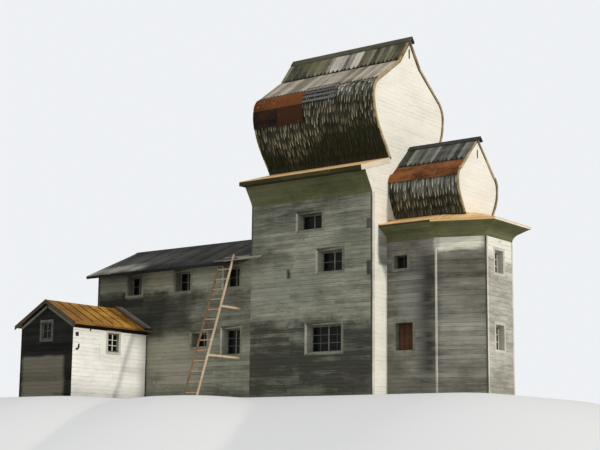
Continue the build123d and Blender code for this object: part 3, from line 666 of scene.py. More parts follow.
def clad_piece(seed, name, slot, coat, *face, **sizes):
    """The boards of one wall face, given as clad takes it, as a piece of their own."""
    heap = Heap(seed)
    clad(heap, *face, **sizes)
    heap.piece(name, slot, coat)


def steady(a0, a1):
    """Ends that are the same at every height."""
    return lambda z: (np.full_like(z, a0), np.full_like(z, a1))


def even(middle, half, limit=99.0):
    """Ends that lie a half width from the middle, which goes by height, and at most the limit from it."""
    return lambda z: (middle - np.minimum(limit, half(z)), middle + np.minimum(limit, half(z)))


# Barrel roofs


class Keel:
    """One side of a keel-shaped roof, from its neck to its shoulder.

    The flank is a cubic curve that leaves the neck at its lean and stands upright at the bulge,
    then a circular arc from the bulge to the shoulder. Places on it go by the length along it.
    """

    def __init__(self, neck, lean, bulge, shoulder):
        t = np.linspace(0, 1, 90)[:, None]
        neck, bulge, shoulder = (np.array(p, float) for p in (neck, bulge, shoulder))
        chord = np.hypot(*(bulge - neck))
        pull_at_neck, pull_at_bulge = 0.98, 1.32
        away = np.array([math.cos(math.radians(lean)), math.sin(math.radians(lean))]) * chord * pull_at_neck
        rise = np.array([0.0, chord * pull_at_bulge])
        low = ((2 * t**3 - 3 * t**2 + 1) * neck + (t**3 - 2 * t**2 + t) * away
               + (3 * t**2 - 2 * t**3) * bulge + (t**3 - t**2) * rise)
        step = shoulder - bulge
        radius = (step @ step) / (2 * -step[0])
        sweep = math.atan2(step[1], radius + step[0])
        angle = np.linspace(0, sweep, 40)[1:]
        arc = bulge + radius * np.stack([np.cos(angle) - 1, np.sin(angle)], axis=1)
        self.points = np.concatenate([low, arc])
        self.lengths = np.concatenate([[0], np.cumsum(np.hypot(*np.diff(self.points, axis=0).T))])
        slope = np.gradient(self.points, axis=0)
        slope /= np.hypot(*slope.T)[:, None]
        self.normals = np.stack([slope[:, 1], -slope[:, 0]], axis=1)
        self.total = self.lengths[-1]

    def shell(self, lift):
        """The flank's points, as half width and height, moved outwards by lift."""
        return self.points + self.normals * lift

    def at(self, s):
        """Half width, height and outward direction at a length s along the flank."""
        return [np.interp(s, self.lengths, column) for column in (*self.points.T, *self.normals.T)]

    def put(self, x, s, side, lift):
        """Points on the flank at x, a length s up it, on the south (-1) or north (1) side."""
        half, z, out, up = self.at(s)
        return place(x, side * (half + out * lift), z + up * lift)

    def facing(self, s, side):
        """The outward direction at a length s up the flank."""
        out, up = self.at(s)[2:]
        return np.stack([np.zeros_like(out), side * out, up], axis=-1)


class Flare:
    """A flare at a wall's top: a short arc that leaves the wall upright, then straight out at its pitch."""

    def __init__(self, foot, radius, pitch, reach):
        turn = math.radians(90 - pitch)
        self.foot, self.radius, self.reach, self.slope = foot, radius, reach, math.tan(math.radians(pitch))
        self.bend_out, self.bend_up = radius * (1 - math.cos(turn)), radius * math.sin(turn)
        self.top = foot + self.bend_up + (reach - self.bend_out) * self.slope

    def out(self, z):
        """How far the flare stands out at height z: the arc's sagitta, then the straight part's run."""
        rise = np.clip(z - self.foot, 0, self.top - self.foot)
        low = np.minimum(rise, self.bend_up)
        arc = self.radius - np.sqrt(self.radius ** 2 - low ** 2)
        return arc + (rise - low) / self.slope


def deck_point(edge, top, inset):
    """The point edge of the line towards top, moved inwards across it by inset."""
    run, rise = edge[0] - top[0], top[1] - edge[1]
    span = math.hypot(run, rise)
    return (edge[0] - rise / span * inset, edge[1] - run / span * inset)


def skirt_edge(neck, depth, half, flare, reach):
    """Slope of a skirt roof and height of its edge, reach metres in front of the wall.

    The roof runs straight from the neck to a point its depth above the flare's top.
    """
    slope = (neck[1] - flare.top - depth) / (half + flare.reach - neck[0])
    return slope, neck[1] - slope * (half + reach - neck[0])


# Outlines of both barrel roofs as (half width, height), and the skirt roofs below them
VERGE = 0.045
NECK = (1.7, 10.79)
LOWER_EDGE = (2.57, 14.375)
UPPER_EDGE = (0.925, 15.6)
RIDGE = (0.0, 16.84)
UPPER_INNER = deck_point(UPPER_EDGE, RIDGE, VERGE)
TOWER_KEEL = Keel(NECK, 58, (3.01, 13.52), deck_point(LOWER_EDGE, UPPER_INNER, VERGE))
TOWER_FLARE = Flare(flare_start, 0.2, 57, 0.665)
TOWER_END = half_length + VERGE
SKIRT_REACH, SKIRT_DEPTH, FASCIA = 0.965, 0.075, 0.2
SKIRT_SLOPE, SKIRT_EDGE = skirt_edge(NECK, SKIRT_DEPTH, half_width, TOWER_FLARE, SKIRT_REACH)
SOFFIT = SKIRT_EDGE - FASCIA
SOFFIT_REACH = TOWER_FLARE.bend_out + (SOFFIT - flare_start - TOWER_FLARE.bend_up) / TOWER_FLARE.slope

APSE_NECK = (1.22, 7.98)
APSE_SHOULDER = (1.545, 9.95)
APSE_TOP = 11.467
APSE_KEEL = Keel(APSE_NECK, 67, (1.77, 9.42), APSE_SHOULDER)
APSE_FLARE = Flare(apse_flare_start, 0.4, 30, 0.66)
APSE_REACH, APSE_DEPTH = 0.715, 0.105
APSE_PITCH, APSE_EDGE = skirt_edge(APSE_NECK, APSE_DEPTH, apse_half, APSE_FLARE, APSE_REACH)
APSE_GABLE_X = half_length + 3.56
APSE_START, APSE_END = half_length + 0.01, APSE_GABLE_X + VERGE
APSE_GABLE = Wall((APSE_GABLE_X, 0), (0, 1), (1, 0))

# Width of a pointed board's tip as a share of the board, and length of its point
TIP_SHARE, POINT = 0.24, 0.19
# Where the rusted sheets of the tower's roof end and its slats begin, and the planks' thickness
SHEETS_EAST = -0.5
PLANK = 0.026


def apse_deck(half):
    """Height of the straight deck over the apse's barrel roof at a half width."""
    return APSE_TOP - half * (APSE_TOP - APSE_SHOULDER[1]) / APSE_SHOULDER[0]


def shingle(heap, keel, west, east, rows, width, length, side):
    """Rows of long pointed shingles up a flank.

    Each row's points hang over the row below. A shingle bends with the flank, narrows to its
    point over its lowest two fifths, and lifts off the row below towards that point.
    """
    rng = heap.rng
    columns = int(math.ceil((east - west) / width)) + 1
    row, column = np.meshgrid(np.arange(rows), np.arange(columns), indexing="ij")
    row, column = row.ravel(), column.ravel()
    middle = west + (column + 0.5 * (row % 2)) * width + rng.normal(0, 0.012, row.size)
    tip = np.maximum(row * (keel.total / rows) + rng.normal(0, 0.085, row.size) * (row > 0), 0.0)
    kept = (middle > west - 0.02) & (middle < east + 0.02)
    middle, tip = middle[kept][:, None], tip[kept][:, None]
    reach = np.minimum(length + rng.normal(0, 0.04, tip.shape), keel.total - tip)
    spots = np.array([0.0, 0.2, 0.4, 0.6, 1.0])
    share = np.array([0.1, 0.52, 0.92, 1.0, 1.0])
    s = tip + reach * spots
    lean = rng.normal(0, 0.02, tip.shape) * (1 - spots)
    half = (width / 2 - 0.006) * share * rng.uniform(0.74, 1.04, tip.shape)
    curl = np.abs(rng.normal(0, 0.022, tip.shape))
    lift = 0.02 + 0.05 * (1 - spots) ** 2 + curl * (1 - spots) ** 3
    left = np.clip(middle + lean - half, west, east)
    right = np.clip(middle + lean + half, west, east + 0.001)
    worn = np.exp(-spots * 2.8)
    edges = [keel.put(x, s, side, lift) for x in (left, right)]
    heap.add(*edges, keel.facing(s, side), 0.016, worn=worn)


def curved_sheets(heap, keel, marks, s0, s1, side, lift, tint=None):
    """Bent sheets side by side between the places in marks, from length s0 to s1 up the flank."""
    x0, x1 = np.array(marks[:-1])[:, None], np.array(marks[1:])[:, None]
    s = np.linspace(s0, s1, 12)
    rise = lift + 0.006 * np.sin(s * 9 + x0 * 5)
    low = keel.put(x0 + 0.004, s, side, rise)
    high = keel.put(x1 - 0.004, s, side, rise + 0.004)
    heap.add(low, high, keel.facing(s, side), 0.006, tint)


def straight_boards(heap, x0, x1, top, bottom, side, lift, thickness, rag=0.0, pointed=False):
    """Boards running down a flat slope between the places x0 and x1 along the church.

    top and bottom are (half width, height), and rag is how unevenly the ends stop.
    """
    x0, x1 = np.atleast_1d(x0).astype(float), np.atleast_1d(x1).astype(float)
    top, bottom = np.array(top, float), np.array(bottom, float)
    span = np.hypot(*(bottom - top))
    way = (bottom - top) / span
    length = span + heap.rng.uniform(-rag, rag, x0.size)
    stations = (0.0, length - POINT, length) if pointed else (0.0, length)
    share = np.array([1.0, 1.0, TIP_SHARE] if pointed else [1.0, 1.0])
    far = np.stack(np.broadcast_arrays(*stations), axis=1)
    middle, half = (x0 + x1)[:, None] / 2, (x1 - x0)[:, None] / 2
    lift = np.broadcast_to(lift, x0.shape)[:, None]
    y = top[0] + far * way[0] - way[1] * lift
    z = top[1] + far * way[1] + way[0] * lift
    edges = [place(middle + end * half * share, side * y, z) for end in (-1, 1)]
    normal = np.array([0.0, -side * way[1], way[0]])
    heap.add(*edges, normal, thickness, worn=np.linspace(0, 1, share.size))


def board_edges(rng, start, stop, width, gap=0.006):
    """Left and right edges of boards laid side by side, with slightly uneven widths."""
    count = max(int(round((stop - start) / width)), 1)
    marks = np.linspace(start, stop, count + 1)
    marks[1:-1] += rng.uniform(-0.14, 0.14, count - 1) * width
    return marks[:-1] + gap / 2, marks[1:] - gap / 2


def ribbon(heap, path, x, inset, out, thickness, side):
    """A flat trim that follows an outline of (half width, height) points on an end wall at x."""
    path = np.array(path, float)
    way = np.gradient(path, axis=0)
    way /= np.hypot(*way.T)[:, None]
    inner = path + np.stack([-way[:, 1], way[:, 0]], axis=1) * inset
    inner[:, 0] = np.maximum(inner[:, 0], 0.0)
    edges = [place(x, side * edge[:, 0], edge[:, 1]) for edge in (inner, path)]
    heap.board(*edges, np.array([out, 0.0, 0.0]), thickness)


# Wall boards

ROOF_RIDGE, ROOF_EAVE, ROOF_THICKNESS = 8.05, 6.37, 0.09
EAVE = half_width + 0.61
ROOF_SLOPE = (ROOF_RIDGE - ROOF_EAVE) / EAVE
ROOF_UNDER = ROOF_RIDGE - ROOF_THICKNESS * math.hypot(1, ROOF_SLOPE)
REFECTORY_TOP = ROOF_UNDER - half_width * ROOF_SLOPE
GABLE_INSET = 0.05
SOOT = (0.022, 0.022, 0.017)
OLD_DARK = (0.050, 0.047, 0.036)
OLD_STAIN = ((0.06, 0.055, 0.04), 0.6)


def tower_gable():
    """Ends of the boards of the tower's end walls, which follow its flares and its barrel roof."""
    lower = np.linspace(flare_start, TOWER_FLARE.top - 0.02, 20)
    flank = TOWER_KEEL.shell(-GABLE_INSET)[1:]
    heights = [0.0, *lower, NECK[1] - SKIRT_DEPTH - 0.01, *flank[:, 1]]
    heights += [UPPER_INNER[1] - 0.08, RIDGE[1] - 0.12]
    halves = [half_width, *(half_width + TOWER_FLARE.out(lower)), NECK[0] - GABLE_INSET, *flank[:, 0]]
    halves += [UPPER_INNER[0] - 0.03, 0.0]
    return even(0.0, lambda z: np.interp(z, heights, halves))


def apse_gable():
    """Ends of the boards of the apse's gable, under its barrel roof."""
    flank = APSE_KEEL.shell(-GABLE_INSET)
    heights = [APSE_NECK[1] - 0.3, *flank[:, 1], APSE_TOP - 0.05]
    halves = [APSE_NECK[0] - GABLE_INSET, *flank[:, 0], 0.0]
    return even(0.0, lambda z: np.interp(z, heights, halves))


def apse_ends(face, out):
    """Where an apse face starts and stops, out metres in front of its wall, to meet its neighbours."""
    half = APSE[face][1]
    first, last = mitre_gain(face)
    return -half - first * out, half + last * out


def tower_board_finish(grey):
    """Grey boards, darker on the ground floor, with soot under the refectory's roof line."""
    return board_finish(
        "tower_board_finish", (0.055, 0.054, 0.041), grey * 1.16, board=0.34, streak=0.95, blotch=0.75,
        stain=((0.07, 0.068, 0.052), 0.65),
        zones=[(0, -0.45), (3.15, -0.42), (3.55, 0.06), (5.2, 0.1), (6.6, 0.0), (7.4, 0.06), (8.6, -0.08),
               (17, 0.0)],
        patches=[((-3.3, -0.9), (6.2, 6.75), 0.3, SOOT, 0.55), ((1.6, 3.3), (6.9, 7.4), 0.25, SOOT, 0.35),
                 ((-3.4, -2.4), (6.5, 7.8), 0.35, SOOT, 0.35), ((-3.0, 3.3), (0.6, 2.4), 0.5, SOOT, 0.25),
                 ((-2.9, 0.4), (4.4, 5.9), 0.5, (0.29, 0.29, 0.24), 0.45),
                 ((-1.28, -1.08), (5.4, 5.85), 0.07, SOOT, 1.2)])


def refectory_board_finish(grey):
    """Grey boards with a sooty middle over the porch, paler boards between the upper windows, and painted
    light low beside the porch, reflected from its sunlit east wall.
    """
    return board_finish(
        "refectory_board_finish", OLD_DARK, grey, board=0.34, streak=0.9, blotch=0.7, stain=OLD_STAIN,
        zones=[(0, 0.12), (2.7, 0.16), (3.4, -0.2), (4.9, -0.14), (5.3, 0.08), (17, 0.0)],
        patches=[((-13.9, -11.4), (3.0, 5.5), 0.16, SOOT, 1.4), ((-11.6, -8.8), (3.0, 5.4), 0.25, SOOT, 1.1),
                 ((-9.0, -7.2), (3.3, 4.9), 0.4, SOOT, 0.8), ((-8.2, -5.4), (3.0, 3.9), 0.4, SOOT, 0.55),
                 ((-6.4, -4.0), (4.2, 5.0), 0.3, SOOT, 0.35),
                 ((-10.0, -8.4), (5.35, 6.3), 0.25, (0.33, 0.31, 0.215), 0.8),
                 ((-6.9, -5.4), (5.35, 6.3), 0.25, (0.33, 0.32, 0.235), 0.75),
                 ((-13.4, -11.8), (5.25, 6.2), 0.25, (0.20, 0.195, 0.145), 0.6),
                 # Paler boards low beside the porch: painted light reflected from the porch's sunlit east
                 # wall.
                 ((-10.2, -7.0), (0.9, 3.1), 0.5, (0.31, 0.285, 0.215), 0.9)])


def refectory_west_finish(grey):
    """Grey boards of the long room's end wall, darker round the upper floor."""
    return board_finish(
        "refectory_west_finish", OLD_DARK, grey, board=0.45, blotch=0.9, stain=OLD_STAIN, stain_from=0.58,
        zones=[(0, 0.1), (2.7, 0.1), (3.4, -0.25), (4.9, -0.2), (5.5, 0.05), (17, 0.0)])


def sunlit_cream_finish(sunlit_cream):
    """Cream of the tower's and the apse's end walls, painted sunlight on their weathered boards, with a
    painted shadow of the apse's flare beside the apse's roof.
    """
    return board_finish(
        "sunlit_cream_finish", (0.38, 0.36, 0.30), sunlit_cream, bias=0.9, board=0.06, streak=0.2, blotch=0.3,
        runs=0.03, courses=0.15, stain=((0.30, 0.28, 0.24), 0.6), stain_from=0.66, bump=0.15, soil=0.2,
        # The patch beside the apse is painted shadow: the apse's flare and skirt shading the tower's east
        # wall.
        axis="North", patches=[((-2.62, -1.7), (5.75, 7.6), 0.07, (0.20, 0.19, 0.155), 1.0)])


def apse_board_finish():
    """Brown boards of the apse's slanting and side walls, with paler and darker places, and a pale band of
    painted grazing sunlight along the top of the slanting walls.
    """
    return board_finish(
        "apse_board_finish", (0.055, 0.051, 0.040), (0.29, 0.275, 0.225), board=0.3, streak=0.5, blotch=0.7,
        courses=0.6, stain=((0.30, 0.285, 0.24), 0.5), stain_from=0.62,
        zones=[(0, 0.0), (3.0, 0.12), (3.6, 0.0), (5.6, -0.1), (17, 0)],
        patches=[((5.15, 5.98), (1.0, 6.2), 0.3, (0.035, 0.033, 0.026), 1.05),
                 ((3.5, 4.6), (0.5, 2.0), 0.4, (0.05, 0.047, 0.036), 0.5),
                 ((3.9, 4.9), (3.4, 5.2), 0.35, (0.27, 0.265, 0.225), 0.6),
                 # Pale band along the top of the slanting walls: painted grazing sunlight.
                 ((6.05, 7.9), (6.35, 7.0), 0.2, (0.82, 0.79, 0.64), 1.3),
                 ((6.0, 8.0), (5.0, 5.9), 0.3, (0.10, 0.085, 0.06), 0.45),
                 ((6.1, 8.0), (2.9, 3.35), 0.2, (0.36, 0.35, 0.31), 0.6)])


def apse_east_finish(sunlit_cream):
    """Cream of the apse's east wall, painted sunlight on its weathered boards: darker lower down, paler from
    about six metres up.
    """
    return board_finish(
        "apse_east_finish", (0.27, 0.255, 0.21), sunlit_cream * 0.95, bias=0.42, board=0.15, streak=0.5, blotch=0.6,
        courses=0.6, stain=((0.26, 0.25, 0.21), 0.6), stain_from=0.58, soil=0.3,
        zones=[(0, -0.25), (5.7, -0.1), (6.1, 0.9), (17, 0.9)])


def flare_board_finish():
    """Greenish boards under the skirt roofs."""
    return board_finish(
        "cove_finish", (0.056, 0.057, 0.023), (0.168, 0.168, 0.078), board=0.3, streak=0.45, blotch=0.7,
        runs=0.22, courses=0.3, soil=0.0,
        patches=[((-3.4, -1.6), (9.0, 9.8), 0.5, (0.16, 0.155, 0.095), 0.5),
                 ((6.2, 8.2), (6.8, 7.6), 0.2, (0.25, 0.245, 0.125), 0.35)])


class ChurchPiece:
    """What the operators share."""

    bl_options = {"REGISTER", "UNDO"}


class CHURCH_OT_wall_boards(ChurchPiece, bpy.types.Operator):
    """Clad every wall with horizontal boards, cut round the windows"""

    bl_idname = "church.wall_boards"
    bl_label = "Wall boards"

    def execute(self, context):
        sizes, colours = context.scene.church_sizes, context.scene.church_colours
        common = dict(width=sizes.board_width, joint=sizes.joint, thickness=sizes.board_thickness)
        grey, sunlit_cream = np.array(colours.grey_board), np.array(colours.east_sunlight_cream)
        self.long_walls(grey, common)
        self.gables(sunlit_cream, {**common, "joint": sizes.joint * 0.4})
        self.apse(sunlit_cream, common)
        return {"FINISHED"}

    def long_walls(self, grey, common):
        """The grey walls of the tower's sides and of the refectory."""
        tower, long_wall = tower_board_finish(grey), refectory_board_finish(grey)
        windows = [hole(w) for w in MAIN_WINDOWS]
        for step, (side, wall, arch) in enumerate((("south", SOUTH, [PORCH_ARCH]), ("north", NORTH, []))):
            clad_piece(11 + step, f"tower_{side}_boards", "wall_boards", tower, wall, 0.0, flare_start,
                       steady(-half_length, half_length), windows, **common)
            clad_piece(13 + step, f"refectory_{side}_boards", "wall_boards", long_wall, wall, 0.0,
                       REFECTORY_TOP, steady(refectory_west, -half_length), windows + arch, **common)
        under_roof = even(0.0, lambda z: (ROOF_UNDER - z) / ROOF_SLOPE, half_width)
        clad_piece(15, "refectory_west_boards", "wall_boards", refectory_west_finish(grey), WEST, 0.0,
                   ROOF_UNDER - 0.02, under_roof, [hole(w) for w in WEST_WINDOWS], **common)

    def gables(self, sunlit_cream, common):
        """The cream end walls of the tower and the apse's gable; their cream is painted sunlight on weathered
        boards.
        """
        # The cream is painted sunlight on the east walls' weathered boards.
        paint = sunlit_cream_finish(sunlit_cream)
        apse_joint = [(-apse_half + 0.03, apse_half - 0.03, 0, 7.9)]
        for seed, name, wall, low, high, ends, holes in (
                (21, "tower_east_boards", TOWER_EAST, 0.0, 16.7, tower_gable(), apse_joint),
                (22, "tower_west_boards", TOWER_WEST, 6.3, 16.7, tower_gable(), []),
                (23, "apse_gable_boards", APSE_GABLE, APSE_NECK[1] + 0.02, APSE_TOP - 0.08,
                 apse_gable(), [])):
            clad_piece(seed, name, "pale_wall_boards", paint, wall, low, high, ends, holes, **common)

    def apse(self, sunlit_cream, common):
        """The apse's five walls."""
        # The apse's east wall gets the cream that paints sunlight on it.
        brown, worn = apse_board_finish(), apse_east_finish(sunlit_cream)
        south, north = ([side_hole(w, turn) for w in (HIGH_APSE_WINDOW, LOW_APSE_WINDOW)] for turn in (1, -1))
        by_face = [south, [], [hole(w) for w in EAST_WINDOWS], [], north]
        for face, ((wall, half), holes) in enumerate(zip(APSE, by_face)):
            slot, coat = ("pale_wall_boards", worn) if face == 2 else ("wall_boards", brown)
            clad_piece(30 + face, f"apse_boards_{face + 1}", slot, coat, wall, 0.0, apse_flare_start,
                       steady(-half, half), holes, **common)


class CHURCH_OT_flare_boards(ChurchPiece, bpy.types.Operator):
    """Clad the flares that lean out under the skirt roofs"""

    bl_idname = "church.flare_boards"
    bl_label = "Flare boards"

    def execute(self, context):
        sizes = context.scene.church_sizes
        common = dict(joint=0.005, thickness=sizes.board_thickness * 0.8)
        wood = flare_board_finish()
        heap = Heap(41)
        for wall in (SOUTH, NORTH):
            clad(heap, wall, flare_start, TOWER_FLARE.top, steady(-half_length, half_length), (),
                 TOWER_FLARE.out, sizes.board_width, **common)
        heap.piece("tower_cove_boards", "cove_boards", wood)
        heap = Heap(42)
        for face, (wall, half) in enumerate(APSE):
            clad(heap, wall, apse_flare_start, APSE_FLARE.top,
                 lambda z, face=face: apse_ends(face, APSE_FLARE.out(z) + 0.015), (), APSE_FLARE.out, 0.11,
                 **common)
        heap.piece("apse_cove_boards", "cove_boards", wood)
        return {"FINISHED"}


# Roof pieces


class CHURCH_OT_shingles(ChurchPiece, bpy.types.Operator):
    """Cover both barrel roofs with rows of long pointed shingles"""

    bl_idname = "church.shingles"
    bl_label = "Shingles"

    def execute(self, context):
        sizes = context.scene.church_sizes
        high = shingle_finish("tower_shingle_finish", (14.0, 14.8), (13.3, 12.6))
        low = shingle_finish("apse_shingle_finish", (9.3, 9.9), (9.1, 8.5))
        for side, word in ((-1, "south"), (1, "north")):
            for seed, room, keel, west, east, rows, coat in (
                    (50, "tower", TOWER_KEEL, -TOWER_END, TOWER_END, sizes.shingle_rows, high),
                    (53, "apse", APSE_KEEL, APSE_START, APSE_END, 5, low)):
                heap = Heap(seed + side)
                shingle(heap, keel, west, east, rows, sizes.shingle_width, sizes.shingle_length, side)
                heap.piece(f"{room}_{word}_shingles", "shingles", coat)
        return {"FINISHED"}


class CHURCH_OT_patches(ChurchPiece, bpy.types.Operator):
    """Mend the barrel roofs with rusted sheets, a metal band and a patch of slats"""

    bl_idname = "church.patches"
    bl_label = "Sheets and slats"

    def execute(self, context):
        rust = np.array(context.scene.church_colours.rust)
        self.rust_sheets(rust)
        self.slats()
        self.band(rust)
        return {"FINISHED"}

    def rust_sheets(self, rust):
        """Two rows of sheets on the tower's south flank, the lower one darker and lapped below the upper."""
        bright = rust_finish(
            "bright_rust_finish", rust * (0.46, 0.40, 0.26), rust * (0.09, 0.07, 0.06), seams=0.6)
        dull = rust_finish(
            "dark_rust_finish", rust * (0.14, 0.13, 0.10), (0.005, 0.004, 0.002), amount=0.2, seams=1.1)
        heap = Heap(61)
        upper_marks = [-TOWER_END, -2.5, -1.4, SHEETS_EAST]
        curved_sheets(heap, TOWER_KEEL, upper_marks, 3.13, TOWER_KEEL.total - 0.25, -1, 0.1)
        heap.piece("upper_rust_sheets", "rusty_roof", bright)
        heap = Heap(62)
        curved_sheets(heap, TOWER_KEEL, [-TOWER_END, -2.0], 2.36, 3.16, -1, 0.112, tint=0.1)
        curved_sheets(heap, TOWER_KEEL, [-2.0, SHEETS_EAST], 2.34, 3.16, -1, 0.114, tint=0.75)
        heap.piece("lower_rust_sheets", "rusty_roof", dull)

    def slats(self):
        """Five level slats beside the sheets, each tilted so that it laps the one below."""
        slat = high_finish("slat_finish", (0.03, 0.03, 0.028), (0.20, 0.20, 0.185), board=0.6, blotch=0.3)
        heap = Heap(63)
        marks = np.linspace(3.14, TOWER_KEEL.total + 0.03, 6)
        ends = np.array([SHEETS_EAST, 1.36])
        for foot, head in zip(marks[:-1] + 0.03, marks[1:] - 0.045):
            edges = [TOWER_KEEL.put(ends, s, -1, lift) for s, lift in ((foot, 0.15), (head, 0.12))]
            heap.board(*edges, TOWER_KEEL.facing((foot + head) / 2, -1), 0.025)
        heap.piece("slat_patch", "roof_boards", slat)

    def band(self, rust):
        """Sheet iron over the shoulders of the apse's barrel roof, bent below the deck and flat on it."""
        coat = rust_finish("band_rust_finish", rust * (0.68, 0.68, 0.50), rust * (0.22, 0.20, 0.18))
        heap = Heap(64)
        marks = [APSE_START, half_length + 1.25, half_length + 2.5, APSE_END]
        seam = half_length + 1.9
        for side in (-1, 1):
            curved_sheets(heap, APSE_KEEL, marks, 1.68, APSE_KEEL.total - 0.04, side, 0.1)
            straight_boards(heap, [APSE_START, seam], [seam, APSE_END], (0.9, apse_deck(0.9)), APSE_SHOULDER,
                            side, 0.012, 0.01)
        heap.piece("apse_metal_band", "rusty_roof", coat)


def crown_tier(name, seed, coats, west, east, top, bottom, width, overhang, bleached=0.0):
    """One tier of pointed boards on both slopes over dark ones that lie below its joints, their near-black
    painted shadow under the tier.

    top and bottom are (half width, height). The dark boards reach an overhang past the tips. The
    south side's boards within bleached metres of the tower's middle become a piece of their own.
    """
    heap, under, light = Heap(seed), Heap(seed + 3), Heap(seed + 6)
    way = np.array(bottom) - np.array(top)
    beyond = np.array(bottom) + way / np.hypot(*way) * overhang
    for side in (-1, 1):
        left, right = board_edges(heap.rng, west, east, width, 0.012)
        new = (np.abs(left) < bleached) & (side < 0)
        for pile, chosen in ((heap, ~new), (light, new)):
            if chosen.any():
                lift = heap.rng.uniform(-0.006, 0.0, chosen.sum())
                straight_boards(
                    pile, left[chosen], right[chosen], top, bottom, side, lift, 0.02, rag=0.025, pointed=True)
        middle = (left + right) / 2
        straight_boards(under, middle[:-1] + 0.004, middle[1:] - 0.004, top, beyond, side, -0.023, 0.02)
    for pile, word, coat in zip((heap, under, light), ("", "under_", "pale_"), coats):
        if pile.points:
            pile.piece(name.replace("planks", f"{word}planks"), "roof_boards", coat)


class CHURCH_OT_crown(ChurchPiece, bpy.types.Operator):
    """Lay the pointed roof boards under both ridges"""

    bl_idname = "church.crown"
    bl_label = "Crown boards"

    def execute(self, context):
        width = context.scene.church_sizes.crown_board
        mossy = high_finish("mossy_board_finish", (0.034, 0.032, 0.017), (0.31, 0.285, 0.21), board=0.8,
                            bias=0.42, streak=0.9, blotch=0.4, moss=((0.115, 0.105, 0.042), 0.65))
        bleached = high_finish("bleached_board_finish", (0.09, 0.082, 0.068), (0.56, 0.51, 0.42), board=1.1,
                               streak=1.1, blotch=0.3)
        # The boards under each tier are near-black: painted shadow in the notches and under the tier's edge.
        under_shadow = board_finish("under_board_shadow_finish", (0.004, 0.004, 0.003), (0.022, 0.020, 0.016), soil=0.0)
        pale = high_finish("pale_roof_finish", (0.075, 0.063, 0.045), (0.50, 0.44, 0.34), board=0.8,
                           bias=0.55, streak=0.9, blotch=0.5)
        grey = high_finish("apse_roof_finish", (0.024, 0.024, 0.020), (0.22, 0.22, 0.185), board=0.9,
                           bias=0.38, streak=0.8, blotch=0.5)
        crown_tier("tower_upper_planks", 71, (mossy, under_shadow, bleached), -TOWER_END, TOWER_END, RIDGE,
                   UPPER_EDGE, width, 0.05, bleached=0.95)
        crown_tier("tower_lower_planks", 72, (pale, under_shadow, bleached), -TOWER_END, TOWER_END,
                   (UPPER_INNER[0] - 0.1, UPPER_INNER[1] + 0.075), LOWER_EDGE, width * 0.85, 0.1)
        crown_tier("apse_planks", 73, (grey, under_shadow, bleached), APSE_START, APSE_END,
                   (0.0, apse_deck(0.0) + 0.06), (1.13, apse_deck(1.13) + 0.06), width, 0.05)
        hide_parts("tower_crown_boards")
        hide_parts("apse_crown_boards")
        return {"FINISHED"}


def skirt_top(face, a):
    """How far in front of its wall an apse skirt board at a ends: at a hip or at the roof above."""
    wall, half = APSE[face]
    ends = [over / gain for gain, over in zip(mitre_gain(face), (-half - a, a - half)) if gain]
    base = wall.start - site + a[:, None] * wall.along
    stops = []
    if face != 2:
        stops.append((APSE_NECK[0] - abs(base[:, 1])) / abs(wall.out[1]))
    if face in (1, 2, 3):
        stops.append((APSE_GABLE_X - base[:, 0]) / wall.out[0])
    return np.minimum(np.max([*ends, np.min(stops, axis=0)], axis=0), APSE_REACH - 0.01)


def apse_skirt_height(out):
    """Height of the apse's skirt roof, out metres in front of the wall."""
    return APSE_EDGE + APSE_PITCH * (APSE_REACH - out)


